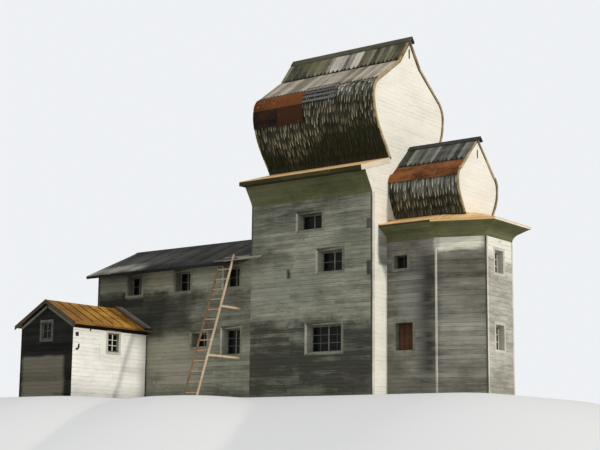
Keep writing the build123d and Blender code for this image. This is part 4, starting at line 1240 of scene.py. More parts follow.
class CHURCH_OT_skirts(ChurchPiece, bpy.types.Operator):
    """Board the skirt roofs over the flares with new pine and edge them with fascia boards"""

    bl_idname = "church.skirts"
    bl_label = "Skirt roofs"

    def execute(self, context):
        pine = np.array(context.scene.church_colours.new_pine)
        fresh = high_finish("new_pine_finish", pine * 0.62, pine * 1.05, board=0.6, bias=0.62, streak=0.5,
                            blotch=0.2, bump=0.2, roughness=0.7)
        # The dark brown of the south and north fascias, the soffits and the west end boards is painted shade;
        # the layer under the planks shares it.
        brown = high_finish("skirt_shaded_edge_finish", (0.018, 0.015, 0.007), (0.066, 0.056, 0.022), streak=0.5,
                            blotch=0.3)
        # The pale cream of the apse's east fascia and the tower skirts' east end boards is painted sunlight
        # on the same boards.
        sunlit_end = high_finish("skirt_sunlit_end_finish", (0.42, 0.35, 0.24), (0.84, 0.76, 0.60), board=0.3, bias=0.7,
                           streak=0.5, blotch=0.3)
        heap, under, ends = Heap(81), Heap(82), Heap(85)
        for side, wall in ((-1, SOUTH), (1, NORTH)):
            self.tower_side(heap, under, ends, side, wall)
        heap.piece("tower_skirt_planks", "new_boards", fresh)
        under.piece("tower_skirt_fascia", "new_boards", brown)
        ends.piece("tower_skirt_rakes", "new_boards", sunlit_end)
        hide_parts("tower_skirt_roofs")
        heap, under, ends = Heap(83), Heap(84), Heap(86)
        for face in range(5):
            self.apse_side(heap, under, (under, heap, ends, heap, under)[face], face)
        heap.piece("apse_skirt_planks", "new_boards", fresh)
        under.piece("apse_skirt_fascia", "new_boards", brown)
        ends.piece("apse_skirt_front", "new_boards", sunlit_end)
        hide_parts("apse_skirt_roof")
        return {"FINISHED"}

    def tower_side(self, heap, under, ends, side, wall):
        """One skirt roof of the tower: its boards, the layer below them, fascia, soffit and closed ends."""
        edge = half_width + SKIRT_REACH
        left, right = board_edges(heap.rng, -TOWER_END, TOWER_END, 0.16)
        straight_boards(heap, left, right, (NECK[0] - 0.02, NECK[1]), (edge, SKIRT_EDGE), side, 0.0, PLANK)
        straight_boards(under, -TOWER_END + 0.03, TOWER_END - 0.03, (NECK[0], NECK[1] - 0.028),
                        (edge - 0.03, SKIRT_EDGE - 0.028), side, 0.0, 0.046)
        marks = np.array([-TOWER_END, -0.9, 1.8, TOWER_END])
        wall.panels(under, marks[:-1], marks[1:], SOFFIT, SKIRT_EDGE - 0.03, SKIRT_REACH - 0.006, 0.025)
        rows = half_width + np.linspace(SOFFIT_REACH - 0.02, SKIRT_REACH - 0.032, 4)
        soffit_ends = (-TOWER_END + 0.02, TOWER_END - 0.02)
        for first, last in zip(rows, rows[1:] - 0.006):
            edges = [place(soffit_ends, side * y, SOFFIT + 0.002) for y in (first, last)]
            under.board(*edges, -UP, 0.022)
        close = [(edge - 0.03, SKIRT_EDGE - 0.02), (edge - 0.6, SKIRT_EDGE + 0.57 * SKIRT_SLOPE - 0.02),
                 (NECK[0] + 0.02, NECK[1] - 0.03)]
        ribbon(ends, close, TOWER_END, 0.23, 1, 0.03, side)
        ribbon(under, close, -TOWER_END, 0.2, -1, 0.03, side)

    def apse_side(self, heap, under, fascia, face):
        """The skirt roof over one apse wall: its boards, cut at the hips, a layer below them and a fascia."""
        wall = APSE[face][0]
        start, stop = apse_ends(face, APSE_REACH)
        edges = []
        for a in board_edges(heap.rng, start, stop, 0.16):
            top = skirt_top(face, a)
            foot, head = wall.at(a, APSE_EDGE, APSE_REACH), wall.at(a, apse_skirt_height(top), top)
            edges.append(np.stack([foot, head], axis=1))
        tilt = wall.out * APSE_PITCH + UP
        tilt /= np.linalg.norm(tilt)
        heap.add(*edges, tilt, PLANK)
        inner = APSE_FLARE.reach - 0.06
        low = wall.at((start, stop), APSE_EDGE, APSE_REACH - 0.02)
        high = wall.at(apse_ends(face, inner), apse_skirt_height(inner), inner)
        under.board(low - tilt * 0.03, high - tilt * 0.03, tilt, 0.06)
        wall.panels(fascia, start, stop, APSE_EDGE - APSE_DEPTH, APSE_EDGE - 0.028, APSE_REACH - 0.003, 0.025)


class CHURCH_OT_refectory_roof(ChurchPiece, bpy.types.Operator):
    """Lay the long roof's boards, with loose ones at its east end"""

    bl_idname = "church.refectory_roof"
    bl_label = "Refectory roof"

    def execute(self, context):
        wood = high_finish(
            "refectory_roof_finish", (0.007, 0.007, 0.006), (0.066, 0.064, 0.055), board=0.7, bias=0.36,
            streak=1.0, blotch=0.7,
            patches=[((-14.3, -10.3), (6.35, 6.85), 0.25, (0.36, 0.345, 0.295), 1.1),
                     ((-14.0, -8.5), (6.9, 7.6), 0.5, (0.12, 0.115, 0.10), 0.6),
                     # Dark strip along the eave's edge: painted shadow.
                     ((-9.5, -4.5), (6.3, 6.6), 0.2, (0.012, 0.012, 0.011), 0.9)])
        pale = board_finish("loose_board_finish", (0.10, 0.09, 0.07), (0.40, 0.36, 0.29), board=0.6, soil=0.0)
        # The eave boards' near-black is partly their own dark wood and partly painted shade under the eave.
        edge = board_finish("eave_board_and_shade_finish", (0.006, 0.006, 0.005), (0.03, 0.028, 0.022), soil=0.0)
        heap, loose, eaves = Heap(101), Heap(102), Heap(103)
        for side in (-1, 1):
            left, right = board_edges(heap.rng, refectory_west - 0.29, -half_length, 0.19, 0.014)
            lift = heap.rng.uniform(0.012, 0.03, left.size)
            straight_boards(
                heap, left, right, (0.02, ROOF_RIDGE), (EAVE, ROOF_EAVE), side, lift, 0.03, rag=0.035)
        heap.piece("refectory_roof_planks", "roof_boards", wood)
        for wall in (SOUTH, NORTH):
            wall.panels(eaves, refectory_west - 0.28, -half_length - 0.3, ROOF_EAVE - 0.135, ROOF_EAVE - 0.01,
                        EAVE - half_width + 0.002, 0.02)
        eaves.piece("refectory_eave_boards", "dark_boards", edge)
        loose_boards = (
            (-5.2, -2.65, 0.02, 6.45, -0.03), (-4.5, -2.55, -0.03, 6.41, 0.04),
            (-3.95, -2.6, 0.25, 6.53, -0.01), (-4.9, -3.42, 0.42, 6.62, 0.0))
        for x0, x1, inset, z, drop in loose_boards:
            y = inset - EAVE
            low = place([x0, x1], [y - 0.08, y - 0.05], [z, z + drop])
            high = place([x0, x1], [y + 0.08, y + 0.1], [z + 0.06, z + drop + 0.07])
            loose.board(low, high, np.array([0, -0.35, 0.94]), 0.03)
        loose.piece("loose_roof_boards", "roof_boards", pale)
        return {"FINISHED"}


# Trims, porch and windows


class CHURCH_OT_trims(ChurchPiece, bpy.types.Operator):
    """Edge the gables, corners and slots"""

    bl_idname = "church.trims"
    bl_label = "Trims"

    def execute(self, context):
        self.verges()
        self.corners()
        hollow = board_finish("slot_finish", (0.008, 0.008, 0.007), (0.03, 0.028, 0.022), soil=0.0)
        slots = Heap(94)
        TOWER_EAST.panels(slots, -0.05, 0.05, 15.85, 16.3, 0.026, 0.02)
        APSE_GABLE.panels(slots, -0.04, 0.04, 10.6, 10.98, 0.026, 0.02)
        slots.piece("gable_slots", "dark_boards", hollow)
        return {"FINISHED"}

    def verges(self):
        """Boards along the edges of both barrel roofs and their decks, just in front of the end walls."""
        ochre = board_finish("verge_finish", (0.10, 0.058, 0.022), (0.56, 0.42, 0.24), board=0.3, streak=0.9,
                             soil=0.0, blotch_scale=1.5)
        heap = Heap(91)
        flank = [*TOWER_KEEL.shell(VERGE)[::6], LOWER_EDGE, (UPPER_INNER[0] + 0.05, UPPER_INNER[1] - 0.01)]
        crown = [UPPER_EDGE, (0.45, 16.24), RIDGE]
        for out in (-1, 1):
            for side in (-1, 1):
                for path, inset in ((flank, 0.11), (crown, 0.14)):
                    ribbon(heap, path, out * (TOWER_END + 0.02), inset, out, 0.06, side)
        flank = APSE_KEEL.shell(VERGE)[::6]
        deck = [APSE_SHOULDER, (1.0, apse_deck(1.0) + 0.03), (0.0, apse_deck(0.0) + 0.05)]
        for side in (-1, 1):
            for path, inset in ((flank, 0.09), (deck, 0.12)):
                ribbon(heap, path, APSE_END + 0.02, inset, 1, 0.06, side)
        heap.piece("verge_trims", "new_boards", ochre)

    def corners(self):
        """Upright boards at the walls' corners: pale ones on the east walls and dark ones elsewhere."""
        pale = board_finish(
            "corner_board_finish", (0.26, 0.245, 0.20), (0.76, 0.72, 0.62), board=0.2, bias=0.6, blotch=0.6,
            runs=0.4, soil=0.3)
        dark = board_finish(
            "dark_corner_finish", (0.03, 0.028, 0.022), (0.12, 0.11, 0.085), board=0.3, soil=0.2)
        heap, shade = Heap(92), Heap(93)
        refectory_corner_top = 6.45
        for side, wall in ((-1, SOUTH), (1, NORTH)):
            strip = sorted((side * half_width, side * (half_width - 0.17)))
            # Pale corner boards on the east wall: painted sunlight, like the walls' cream.
            TOWER_EAST.panels(heap, *strip, 0, flare_start, 0.03, 0.03)
            for a0, a1, z0, z1 in (
                    (half_length - 0.05, half_length, 0, flare_start),
                    (-half_length, -half_length + 0.07, REFECTORY_TOP, flare_start),
                    (refectory_west, refectory_west + 0.14, 0, refectory_corner_top)):
                wall.panels(shade, a0, a1, z0, z1, 0.027, 0.027)
        stubs_from, stubs_to = [7.35, 5.3], [7.8, 5.9]
        for wall in (SOUTH, NORTH):
            wall.panels(shade, half_length - 0.27, half_length - 0.07, stubs_from, stubs_to, 0.03, 0.03)
        for face, (wall, half) in enumerate(APSE):
            width = 0.11 if face == 2 else 0.045
            for end, gain in zip((-1, 1), mitre_gain(face)):
                if gain:
                    pile = shade if (face, end) in ((1, 1), (3, -1)) else heap
                    strip = sorted((end * half, end * (half - width)))
                    wall.panels(pile, *strip, 0, apse_flare_start, 0.03, 0.03)
        heap.piece("corner_boards", "pale_wall_boards", pale)
        shade.piece("dark_corner_boards", "wall_boards", dark)


PORCH_RIDGE, PORCH_EAVE, PORCH_THICKNESS, REAR_RIDGE = 4.6, 3.42, 0.06, 4.71
PORCH_ROOF_HALF = porch_half + 0.315
PORCH_RISE = (PORCH_RIDGE - PORCH_EAVE) / PORCH_ROOF_HALF
PORCH_UNDER = PORCH_RIDGE - PORCH_THICKNESS * math.hypot(1, PORCH_RISE)
PORCH_ROOF_LENGTH = math.hypot(PORCH_ROOF_HALF, PORCH_RIDGE - PORCH_EAVE)
PORCH_WALL_TOP = PORCH_UNDER - PORCH_RISE * porch_half
PORCH_ROOF_SOUTH = porch_south - 0.165
REAR_FRONT = -half_width - 0.55


def porch_slope(side, peak):
    """One slope of the porch's roof: a function that gives points on it, and its outward direction.

    The function takes lengths down the slope, a place y from the axis and heights above the slope.
    """
    fall = PORCH_RIDGE - PORCH_EAVE
    way = np.array([side * PORCH_ROOF_HALF, 0.0, -fall]) / PORCH_ROOF_LENGTH
    out = np.array([side * fall, 0.0, PORCH_ROOF_HALF]) / PORCH_ROOF_LENGTH
    return lambda down, y, lift: (
        place(porch_middle, y, peak) + np.multiply.outer(down, way) + np.multiply.outer(lift, out)), out


class CHURCH_OT_porch(ChurchPiece, bpy.types.Operator):
    """Dress the porch: wall boards, roof seams, rear boards and the door"""

    bl_idname = "church.porch"
    bl_label = "Porch"

    def execute(self, context):
        sizes = context.scene.church_sizes
        common = dict(width=sizes.board_width, joint=sizes.joint, thickness=0.014)
        # The porch's east wall gets the cream that paints sunlight on it.
        sunlit_cream = board_finish(
            "porch_sunlit_cream_finish", (0.42, 0.40, 0.34),
            np.array(context.scene.church_colours.east_sunlight_cream) * (1.03, 1.05, 1.12), bias=0.92, board=0.12,
            streak=0.3, blotch=0.5, stain=((0.34, 0.32, 0.28), 0.6), stain_from=0.62)
        brown = board_finish(
            "porch_gable_finish", (0.003, 0.003, 0.0025), (0.028, 0.026, 0.021), board=0.6, streak=0.9,
            blotch=0.5, soil=0.0, bias=0.3,
            patches=[((-13.3, -10.5), (-1.0, 1.95), 0.12, (0.15, 0.135, 0.10), 1.1)])
        self.walls(sunlit_cream, brown, common)
        self.details(sunlit_cream)
        self.metal_roof()
        self.rear_roof()
        door = Heap(115)
        edges = np.linspace(*PORCH_DOOR[:2], 7)
        ledges = np.array([0.75, 2.05])
        WEST.panels(door, edges[:-1] + 0.004, edges[1:] - 0.004, 0.47, 2.44, -0.03, 0.02)
        WEST.panels(door, -6.02, -5.18, ledges, ledges + 0.12, -0.012, 0.02)
        door.piece("porch_door_boards", "dark_boards", brown)
        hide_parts("porch_door")
        return {"FINISHED"}

    def walls(self, sunlit_cream, brown, common):
        """Cream boards on the east wall, their cream painted sunlight, and dark ones on the gable and the
        west wall.
        """
        side_ends = steady(porch_south, -half_width)
        clad_piece(111, "porch_east_boards", "pale_wall_boards", sunlit_cream, PORCH_EAST, 0.0, PORCH_WALL_TOP,
                   side_ends, [hole(PORCH_SIDE_WINDOW)], **common)
        heap = Heap(112)
        under_roof = even(porch_middle, lambda z: (PORCH_UNDER - z) / PORCH_RISE, porch_half)
        clad(heap, PORCH_SOUTH, 0.0, PORCH_UNDER - 0.05, under_roof, [hole(PORCH_GABLE_WINDOW)], **common)
        clad(heap, WEST, 0.0, PORCH_WALL_TOP, side_ends, [PORCH_DOOR], **common)
        heap.piece("porch_dark_boards", "dark_boards", brown)

    def details(self, sunlit_cream):
        """The east window's surround, the gable's trims and the dark places of the east wall, among them a
        band of painted shadow under the eave.
        """
        surround, trims, black = Heap(116), Heap(117), Heap(118)
        strips_from, strips_to = [-6.36, -4.95], [-5.95, -4.80]
        PORCH_EAST.panels(surround, strips_from, strips_to, 2.04, 3.2, 0.032, 0.02)
        surround.piece("porch_window_surround", "pale_wall_boards", sunlit_cream)
        trim = board_finish(
            "porch_trim_finish", (0.06, 0.065, 0.045), (0.22, 0.225, 0.17), board=0.3, soil=0.0)
        across = np.array([0.04, 0.9, porch_half - 0.02])
        z = PORCH_UNDER - 0.16 - across * PORCH_RISE
        for side in (-1, 1):
            edges = [place(porch_middle + side * across, porch_south - 0.036, z - drop)
                     for drop in (0.13, 0.0)]
            trims.board(*edges, PORCH_SOUTH.out, 0.02)
        trims.piece("porch_gable_trim", "window_paint", trim)
        square_holes = ((-7.83, 2.92, 0.19), (-6.98, 3.17, 0.09))
        ring_y, ring_z = -7.82, 2.38
        for y, z, size in square_holes:
            half = size / 2
            PORCH_EAST.panels(black, y - half, y + half, z - half, z + half, 0.022, 0.01)
        turn = np.linspace(0.15, 1.85, 9) * math.pi / 2 + math.pi * 0.75
        edges = [place(porch_east + 0.024, ring_y - wide * np.cos(turn), ring_z + tall * np.sin(turn))
                 for wide, tall in ((0.07, 0.12), (0.17, 0.2))]
        black.board(*edges, PORCH_EAST.out, 0.01)
        PORCH_EAST.panels(black, -half_width - 0.1, -half_width - 0.03, 0.0, 3.2, 0.02, 0.01)
        # A dark band under the porch's eave: painted shadow of the eave.
        PORCH_EAST.panels(black, porch_south, -half_width, 3.22, 3.5, 0.022, 0.012)
        pitch_black = board_finish(
            "porch_hole_and_shadow_finish", (0.006, 0.006, 0.005), (0.03, 0.027, 0.022), soil=0.0)
        black.piece("porch_wall_holes_and_eave_shadow", "dark_boards", pitch_black)

    def metal_roof(self):
        """Sheets from the ridge to the eave on both slopes, with raised seams between them."""
        metal = rust_finish("porch_roof_finish", (0.47, 0.235, 0.036), (0.16, 0.075, 0.014), amount=0.55,
                            fade=("North", site[1] - half_width - 1.6, site[1] + porch_south + 0.4))
        seam = rust_finish("porch_seam_finish", (0.14, 0.065, 0.022), (0.06, 0.03, 0.012), amount=0.6)
        sheets, seams = Heap(113), Heap(119)
        marks = np.linspace(PORCH_ROOF_SOUTH + 0.02, REAR_FRONT, 8)
        down = (0.03, 0.12, PORCH_ROOF_LENGTH - 0.3, PORCH_ROOF_LENGTH - 0.22)
        lift = (0.01, 0.04, 0.04, 0.008)
        for side in (-1, 1):
            at, out = porch_slope(side, PORCH_RIDGE)
            for pair in zip(marks, marks[1:]):
                sheets.board(*(at((0.0, PORCH_ROOF_LENGTH - 0.01), y, 0.006) for y in pair), out, 0.006)
            for y in marks[1:-1]:
                seams.board(at(down, y - 0.016, lift), at(down, y + 0.016, lift), out, 0.035)
        sheets.piece("porch_roof_sheets", "rusty_roof", metal)
        seams.piece("porch_roof_seams", "rusty_roof", seam)

    def rear_roof(self):
        """The raised boards at the back of the roof, and the step up to them."""
        boards = board_finish("rear_roof_finish", (0.06, 0.057, 0.05), (0.26, 0.25, 0.225), soil=0.0)
        step = board_finish("rear_step_finish", (0.05, 0.022, 0.012), (0.13, 0.055, 0.028), soil=0.0)
        planks, risers = Heap(114), Heap(120)
        down = (0.0, PORCH_ROOF_LENGTH - 0.03)
        for side in (-1, 1):
            at, out = porch_slope(side, REAR_RIDGE)
            for pair in ((0.545, 0.37), (0.36, 0.19), (0.18, 0.02)):
                planks.board(*(at(down, -half_width - gap, 0.02) for gap in pair), out, 0.024)
            risers.board(at(down, REAR_FRONT, -0.1), at(down, REAR_FRONT, 0.015), PORCH_SOUTH.out, 0.012)
        planks.piece("porch_rear_planks", "roof_boards", boards)
        risers.piece("porch_rear_step", "roof_boards", step)


def openings(windows, turn=0):
    """Each window's opening and its panes; turn is as side_hole takes it, or 0 for a wall seen straight."""
    return [(side_hole(w, turn) if turn else hole(w), w[4:]) for w in windows]


class CHURCH_OT_window_bars(ChurchPiece, bpy.types.Operator):
    """Divide the windows into panes and board up the apse's low windows"""

    bl_idname = "church.window_bars"
    bl_label = "Window bars"

    def execute(self, context):
        half = context.scene.church_sizes.pane_bar / 2
        paint = board_finish("window_paint_finish", (0.045, 0.045, 0.038), (0.17, 0.17, 0.145), board=0.3,
                             streak=0.5, blotch=0.4, soil=0.0, bump=0.15)
        white = board_finish("white_bar_finish", (0.45, 0.44, 0.38), (0.80, 0.78, 0.70), board=0.2, bias=0.7,
                             streak=0.4, blotch=0.3, soil=0.0, bump=0.15)
        heap, bright = Heap(121), Heap(123)
        rim = 0.085
        for pile, wall, found, depth in (
                (heap, SOUTH, openings(MAIN_WINDOWS), 0.4), (heap, NORTH, openings(MAIN_WINDOWS), 0.4),
                (heap, WEST, openings(WEST_WINDOWS), 0.4), (bright, APSE[2][0], openings(EAST_WINDOWS), 0.29),
                (heap, APSE[0][0], openings([HIGH_APSE_WINDOW], 1), 0.29),
                (heap, APSE[4][0], openings([HIGH_APSE_WINDOW], -1), 0.29),
                (heap, PORCH_SOUTH, openings([PORCH_GABLE_WINDOW]), 0.09),
                (bright, PORCH_EAST, openings([PORCH_SIDE_WINDOW]), 0.09)):
            for (a0, a1, z0, z1), (across, up) in found:
                a0, a1, z0, z1 = a0 + rim, a1 - rim, z0 + rim, z1 - rim
                centre = (a0 + a1) / 2
                if pile is bright:
                    wall.panels(pile, centre - 0.022, centre + 0.022, z0, z1, 0.034 - depth, 0.004)
                levels = np.linspace(z0, z1, up + 1)[1:-1]
                for start, stop in ((a0, centre - 0.03), (centre + 0.03, a1)):
                    uprights = np.linspace(start, stop, across + 1)[1:-1]
                    wall.panels(pile, uprights - half, uprights + half, z0, z1, 0.022 - depth, 0.02)
                    wall.panels(pile, start, stop, levels - half, levels + half, 0.02 - depth, 0.018)
        heap.piece("window_bars", "window_paint", paint)
        bright.piece("white_window_bars", "window_paint", white)
        red = board_finish(
            "shutter_finish", (0.038, 0.016, 0.009), (0.12, 0.050, 0.026), board=0.7, soil=0.0)
        shutters = Heap(122)
        for face, turn in ((0, 1), (4, -1)):
            a0, a1, z0, z1 = side_hole(LOW_APSE_WINDOW, turn)
            marks = np.linspace(a0 + 0.09, a1 - 0.09, 6)
            APSE[face][0].panels(
                shutters, marks[:-1] + 0.003, marks[1:] - 0.003, z0 + 0.09, z1 - 0.09, -0.25, 0.024)
        shutters.piece("shutter_planks", "shutter_boards", red)
        return {"FINISHED"}


# Finishes of the frame's own parts: dark colour, pale colour and how fine the pattern is
FRAME_WOODS = {
    "log_wall": ((0.035, 0.032, 0.025), (0.10, 0.09, 0.07), 1.0),
    # Pale backing of the east walls and their windows: painted sunlight, like the walls' cream.
    "sunlit_backing": ((0.42, 0.39, 0.33), (0.62, 0.58, 0.50), 1.0),
    "casing": ((0.075, 0.073, 0.052), (0.27, 0.265, 0.20), 1.6),
    "floor_board": ((0.16, 0.10, 0.055), (0.40, 0.28, 0.17), 1.0),
    "ridge": ((0.012, 0.011, 0.009), (0.065, 0.06, 0.05), 1.0),
    "tower_ridge": ((0.035, 0.034, 0.020), (0.13, 0.12, 0.075), 1.0),
    # eave: near-black edges and undersides of the roofs, partly painted shade under the eaves.
    "eave": ((0.012, 0.011, 0.008), (0.05, 0.045, 0.034), 1.0),
    "barge": ((0.035, 0.025, 0.016), (0.11, 0.08, 0.052), 1.4),
    # Pale west edges of the casings: painted sunlight on the jambs that face east.
    "sunlit_west_casing": ((0.20, 0.195, 0.15), (0.50, 0.48, 0.39), 1.6),
    # Dark tops of the casings: painted shade under the window heads.
    "shaded_lintel": ((0.03, 0.03, 0.019), (0.11, 0.105, 0.07), 1.6),
    "gable_casing": ((0.03, 0.03, 0.024), (0.17, 0.17, 0.135), 1.6),
    "ladder": ((0.34, 0.24, 0.15), (0.74, 0.60, 0.42), 3.0),
    "rung": ((0.34, 0.19, 0.085), (0.70, 0.46, 0.26), 3.0),
    # Darker west rail: painted shade on the same wood as the sunlit east rail.
    "shaded_west_rail": ((0.07, 0.042, 0.022), (0.30, 0.19, 0.10), 3.0),
    "shutter_back": ((0.04, 0.015, 0.01), (0.12, 0.05, 0.03), 1.0),
}
FRAME_PARTS = {
    "log_wall": ["tower_south_wall", "tower_north_wall", "tower_flares", "tower_barrel_roof",
                 "apse_south_wall", "apse_southeast_wall", "apse_northeast_wall", "apse_north_wall",
                 "apse_flare", "apse_barrel_roof", "refectory_south_wall", "refectory_south_wall_west_end",
                 "refectory_north_wall", "refectory_west_wall", "porch_south_wall", "porch_west_wall"],
    "sunlit_backing": ["tower_east_wall", "tower_west_wall", "tower_east_gable", "tower_west_gable",
                     "apse_east_wall", "apse_gable", "porch_east_wall"],
    "casing": ["main_window_frames", "apse_window_frames", "porch_window_frames"],
    "floor_board": ["tower_ceiling", "ground_floor", "upper_floor", "porch_floor"],
    "ridge": ["refectory_ridge_board", "apse_ridge_board"],
    "tower_ridge": ["tower_ridge_board"],
    "eave": ["refectory_south_roof", "refectory_north_roof", "porch_rear_roof", "tower_crown_boards",
             "apse_crown_boards", "tower_skirt_roofs", "apse_skirt_roof", "porch_door"],
    "barge": ["porch_barge_boards"],
    "ladder": ["ladder"],
    "porch_sheet": ["porch_metal_roof"],
    "shutter_back": ["apse_shutters"],
    "window_glass": ["main_window_glass", "apse_window_glass", "porch_window_glass"],
}


def glass_finish():
    """Nearly black window glass with a little dust."""
    made, sheet, shader = finish("window_glass_finish", 0.2, specular=0.07)
    shader.inputs["Transmission Weight"].default_value = 0.12
    shader.inputs["IOR"].default_value = 1.45
    dust = sheet.ramp(sheet.noise(sheet.where(), 2.5, 4.0, 0.6), 0.35, 0.75)
    sheet.wire(sheet.mix(dust, (0.003, 0.0035, 0.0035), (0.010, 0.012, 0.011)), shader.inputs["Base Color"])
    return made


def face_middles(name):
    """Middle of each face of a CAD node, in metres from the church's place on the ground."""
    mesh = nodes[name].data
    middles = np.zeros(len(mesh.polygons) * 3)
    mesh.polygons.foreach_get("center", middles)
    turn = np.array(nodes[name].matrix_world)
    return middles.reshape(-1, 3) @ turn[:3, :3].T + turn[:3, 3] - site


def coat_faces(name, coat, chosen):
    """Gives the chosen faces of a CAD node a finish of their own."""
    mesh = nodes[name].data
    if coat.name not in mesh.materials:
        mesh.materials.append(coat)
    index = np.zeros(len(mesh.polygons), np.int32)
    mesh.polygons.foreach_get("material_index", index)
    index[chosen] = list(mesh.materials).index(coat)
    mesh.polygons.foreach_set("material_index", index)


class CHURCH_OT_frame_finishes(ChurchPiece, bpy.types.Operator):
    """Give every part of the frame that still shows its finish"""

    bl_idname = "church.frame_finishes"
    bl_label = "Frame finishes"

    def execute(self, context):
        coats = {name: plain_wood(f"{name}_finish", *looks) for name, looks in FRAME_WOODS.items()}
        coats["porch_sheet"] = rust_finish(
            "porch_sheet_finish", (0.30, 0.15, 0.035), (0.14, 0.065, 0.02), amount=0.6)
        coats["window_glass"] = glass_finish()
        for coat, names in FRAME_PARTS.items():
            for name in names:
                materials = nodes[name].data.materials
                materials.clear()
                materials.append(coats[coat])
        self.ladder(coats)
        self.casings(coats)
        return {"FINISHED"}

    def ladder(self, coats):
        """Rungs between the rails, a darker west rail whose dark is painted shade, and braces that stand
        behind the rails.
        """
        middles = face_middles("ladder")
        across = middles[:, 0] - ladder_middle
        inner = 0.345
        coat_faces("ladder", coats["rung"], np.abs(across) < inner)
        # The west rail's darker wood is painted shade.
        coat_faces("ladder", coats["shaded_west_rail"], across < -inner)
        coat_faces("ladder", coats["rung"], middles[:, 1] > -half_width - 0.58)

    def casings(self, coats):
        """Window casings: dark lintels, painted shade under the heads; pale west edges near the tower,
        painted sunlight on the jambs that face east; and the east windows' pale frames and reveals, painted
        sunlight.
        """
        middles = face_middles("main_window_frames")
        for middle, width, sill, height, *_ in MAIN_WINDOWS:
            east, up = middles[:, 0] - middle, middles[:, 2] - sill
            near = (np.abs(east) < width / 2 + 0.02) & (up > -0.02) & (up < height + 0.02)
            # Pale west edge: painted sunlight on the jamb that faces east.
            if middle > -5:
                coat_faces("main_window_frames", coats["sunlit_west_casing"], near & (east < 0.13 - width / 2))
            # Dark top: painted shade under the head.
            coat_faces("main_window_frames", coats["shaded_lintel"], near & (up > height - 0.08))
        middles = face_middles("apse_window_frames")
        side = (middles[:, 0] > 3.75) & (middles[:, 0] < 4.75)
        coat_faces("apse_window_frames", coats["ridge"], side & (np.abs(middles[:, 1]) < apse_half - 0.2))
        # Pale frames and reveals of the east windows: painted sunlight.
        coat_faces("apse_window_frames", coats["sunlit_backing"], middles[:, 0] > apse_east - 0.4)
        middles = face_middles("porch_window_frames")
        coat_faces("porch_window_frames", coats["gable_casing"], middles[:, 0] < porch_east - 0.4)
        coat_faces("porch_window_frames", coats["sunlit_backing"], middles[:, 0] > porch_east - 0.03)


# Camera and stage


def set_camera():
    """The photograph's viewpoint: low on the meadow, looking north-west and up."""
    yaw, pitch, roll = 0.646, 0.174, -0.01
    stand = np.array([35.22, -50.57, -2.60])
    forward = np.array([-math.sin(yaw), math.cos(yaw), 0.0])
    right = np.array([math.cos(yaw), math.sin(yaw), 0.0])
    ahead = forward * math.cos(pitch) + UP * math.sin(pitch)
    above = -forward * math.sin(pitch) + UP * math.cos(pitch)
    side = right * math.cos(roll) - above * math.sin(roll)
    top = right * math.sin(roll) + above * math.cos(roll)
    data = bpy.data.cameras.new("view")
    data.lens = 78.97
    data.sensor_width = 36.0
    data.clip_end = 2000.0
    camera = bpy.data.objects.new("view", data)
    turn = Matrix(np.stack([side, top, -ahead], axis=1).tolist()).to_4x4()
    turn.translation = (site + stand).tolist()
    camera.matrix_world = turn
    bpy.context.scene.collection.objects.link(camera)
    bpy.context.scene.camera = camera


def meadow():
    """A pale floor, level round the church and falling in a smooth curve to lower level ground.

    Height is minus five metres times a smooth step of the distance outside the footprint.
    """
    reach = np.sinh(np.linspace(-4.6, 4.6, 321)) * 6.0
    x, y = np.meshgrid(reach, reach, indexing="ij")
    away = np.full(x.shape, 1e9)
    for west, east, south, north in (
            (refectory_west, apse_east, -half_width, half_width),
            (refectory_west, porch_east, porch_south, -half_width),
            (ladder_middle - 0.4, ladder_middle + 0.4, -half_width - 3.0, -half_width)):
        side = np.maximum(np.maximum(west + site[0] - x, x - east - site[0]), 0)
        front = np.maximum(np.maximum(south + site[1] - y, y - north - site[1]), 0)
        away = np.minimum(away, np.hypot(side, front))
    level_margin, slope_length, drop = 0.6, 18.0, 5.0
    share = np.clip((away - level_margin) / slope_length, 0, 1)
    z = -drop * share * share * (3 - 2 * share)
    points = np.stack([x, y, z], axis=-1).reshape(-1, 3)
    index = np.arange(x.size).reshape(x.shape)
    corners = [index[:-1, :-1], index[1:, :-1], index[1:, 1:], index[:-1, 1:]]
    coat, _, shader = finish("floor_finish", 0.95, specular=0.1)
    shader.inputs["Base Color"].default_value = (0.72, 0.72, 0.71, 1)
    plain = np.zeros(x.size)
    faces = np.stack(corners, axis=-1).reshape(-1, 4)
    mesh_object("floor", coat, points, faces, points[:, :2], plain, plain, smooth=True)


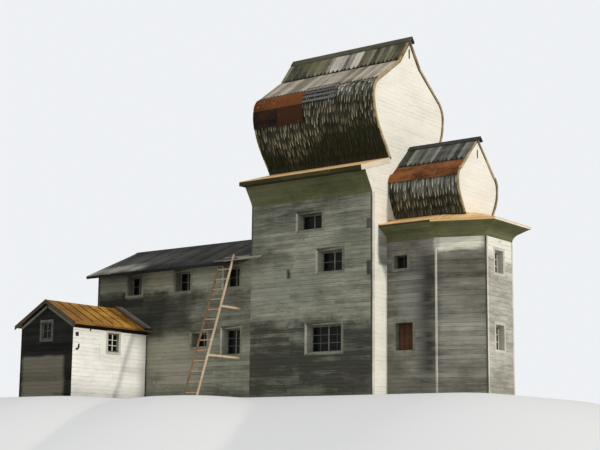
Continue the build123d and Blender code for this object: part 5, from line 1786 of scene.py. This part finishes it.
def light():
    """Soft light: an even sky, one broad lamp from the east-north-east and a weak one from the south."""
    world = bpy.data.worlds.new("sky")
    bpy.context.scene.world = world
    world.use_nodes = True
    world.node_tree.nodes.clear()
    sheet = Sheet(world.node_tree)
    even_sky = sheet.fed("ShaderNodeBackground", (0.93, 0.96, 1.0, 1), 0.53)
    seen = sheet.fed("ShaderNodeBackground", (0.86, 0.88, 0.90, 1), 1.0)
    path = sheet.node("ShaderNodeLightPath").outputs
    direct = sheet.math("MAXIMUM", path["Is Glossy Ray"], path["Is Transmission Ray"])
    direct = sheet.math("MAXIMUM", path["Is Camera Ray"], direct)
    end = sheet.node("ShaderNodeOutputWorld")
    sheet.wire(sheet.fed("ShaderNodeMixShader", direct, even_sky, seen), end.inputs[0])
    for name, turn, height, power, spread, tone in (
            ("morning", 1.5, 25.0, 1.82, 0.06, (1.0, 0.96, 0.89)),
            ("meadow_glow", -75.0, 42.0, 0.85, 1.2, (0.95, 0.98, 1.0))):
        lamp = bpy.data.lights.new(name, "SUN")
        lamp.energy, lamp.angle, lamp.color = power, spread, tone
        thing = bpy.data.objects.new(name, lamp)
        a, e = math.radians(turn), math.radians(height)
        back = Vector((math.cos(a) * math.cos(e), math.sin(a) * math.cos(e), math.sin(e)))
        thing.rotation_mode = "QUATERNION"
        thing.rotation_quaternion = back.to_track_quat("Z", "Y")
        bpy.context.scene.collection.objects.link(thing)


class CHURCH_OT_stage(bpy.types.Operator):
    """Make the camera, floor and light"""

    bl_idname = "church.stage"
    bl_label = "Stage"

    def execute(self, context):
        context.scene.view_settings.view_transform = "Standard"
        set_camera()
        meadow()
        light()
        return {"FINISHED"}


class CHURCH_PT_panel(bpy.types.Panel):
    """The church's sizes, colours and pieces"""

    bl_idname = "CHURCH_PT_panel"
    bl_label = "Timber church"
    bl_space_type = "VIEW_3D"
    bl_region_type = "UI"
    bl_category = "Church"

    def draw(self, context):
        for settings in (context.scene.church_sizes, context.scene.church_colours):
            box = self.layout.box()
            for name in settings.bl_rna.properties.keys():
                if name not in ("rna_type", "name"):
                    box.prop(settings, name)
        for kind in PIECES:
            self.layout.operator(kind.bl_idname)


PIECES = [
    CHURCH_OT_stage, CHURCH_OT_frame_finishes, CHURCH_OT_wall_boards, CHURCH_OT_flare_boards,
    CHURCH_OT_shingles, CHURCH_OT_patches, CHURCH_OT_crown, CHURCH_OT_skirts, CHURCH_OT_trims,
    CHURCH_OT_refectory_roof, CHURCH_OT_porch, CHURCH_OT_window_bars]
CLASSES = [ChurchSizes, ChurchColours, *PIECES, CHURCH_PT_panel]


def register():
    """Adds the settings, the operators and the panel."""
    for kind in CLASSES:
        bpy.utils.register_class(kind)
    bpy.types.Scene.church_sizes = PointerProperty(type=ChurchSizes)
    bpy.types.Scene.church_colours = PointerProperty(type=ChurchColours)


def unregister():
    """Takes away what register adds."""
    del bpy.types.Scene.church_colours
    del bpy.types.Scene.church_sizes
    for kind in reversed(CLASSES):
        bpy.utils.unregister_class(kind)


def main():
    """Makes every piece in order."""
    register()
    for kind in PIECES:
        getattr(bpy.ops.church, kind.bl_idname.split(".")[1])()


if __name__ == "__main__":
    main()
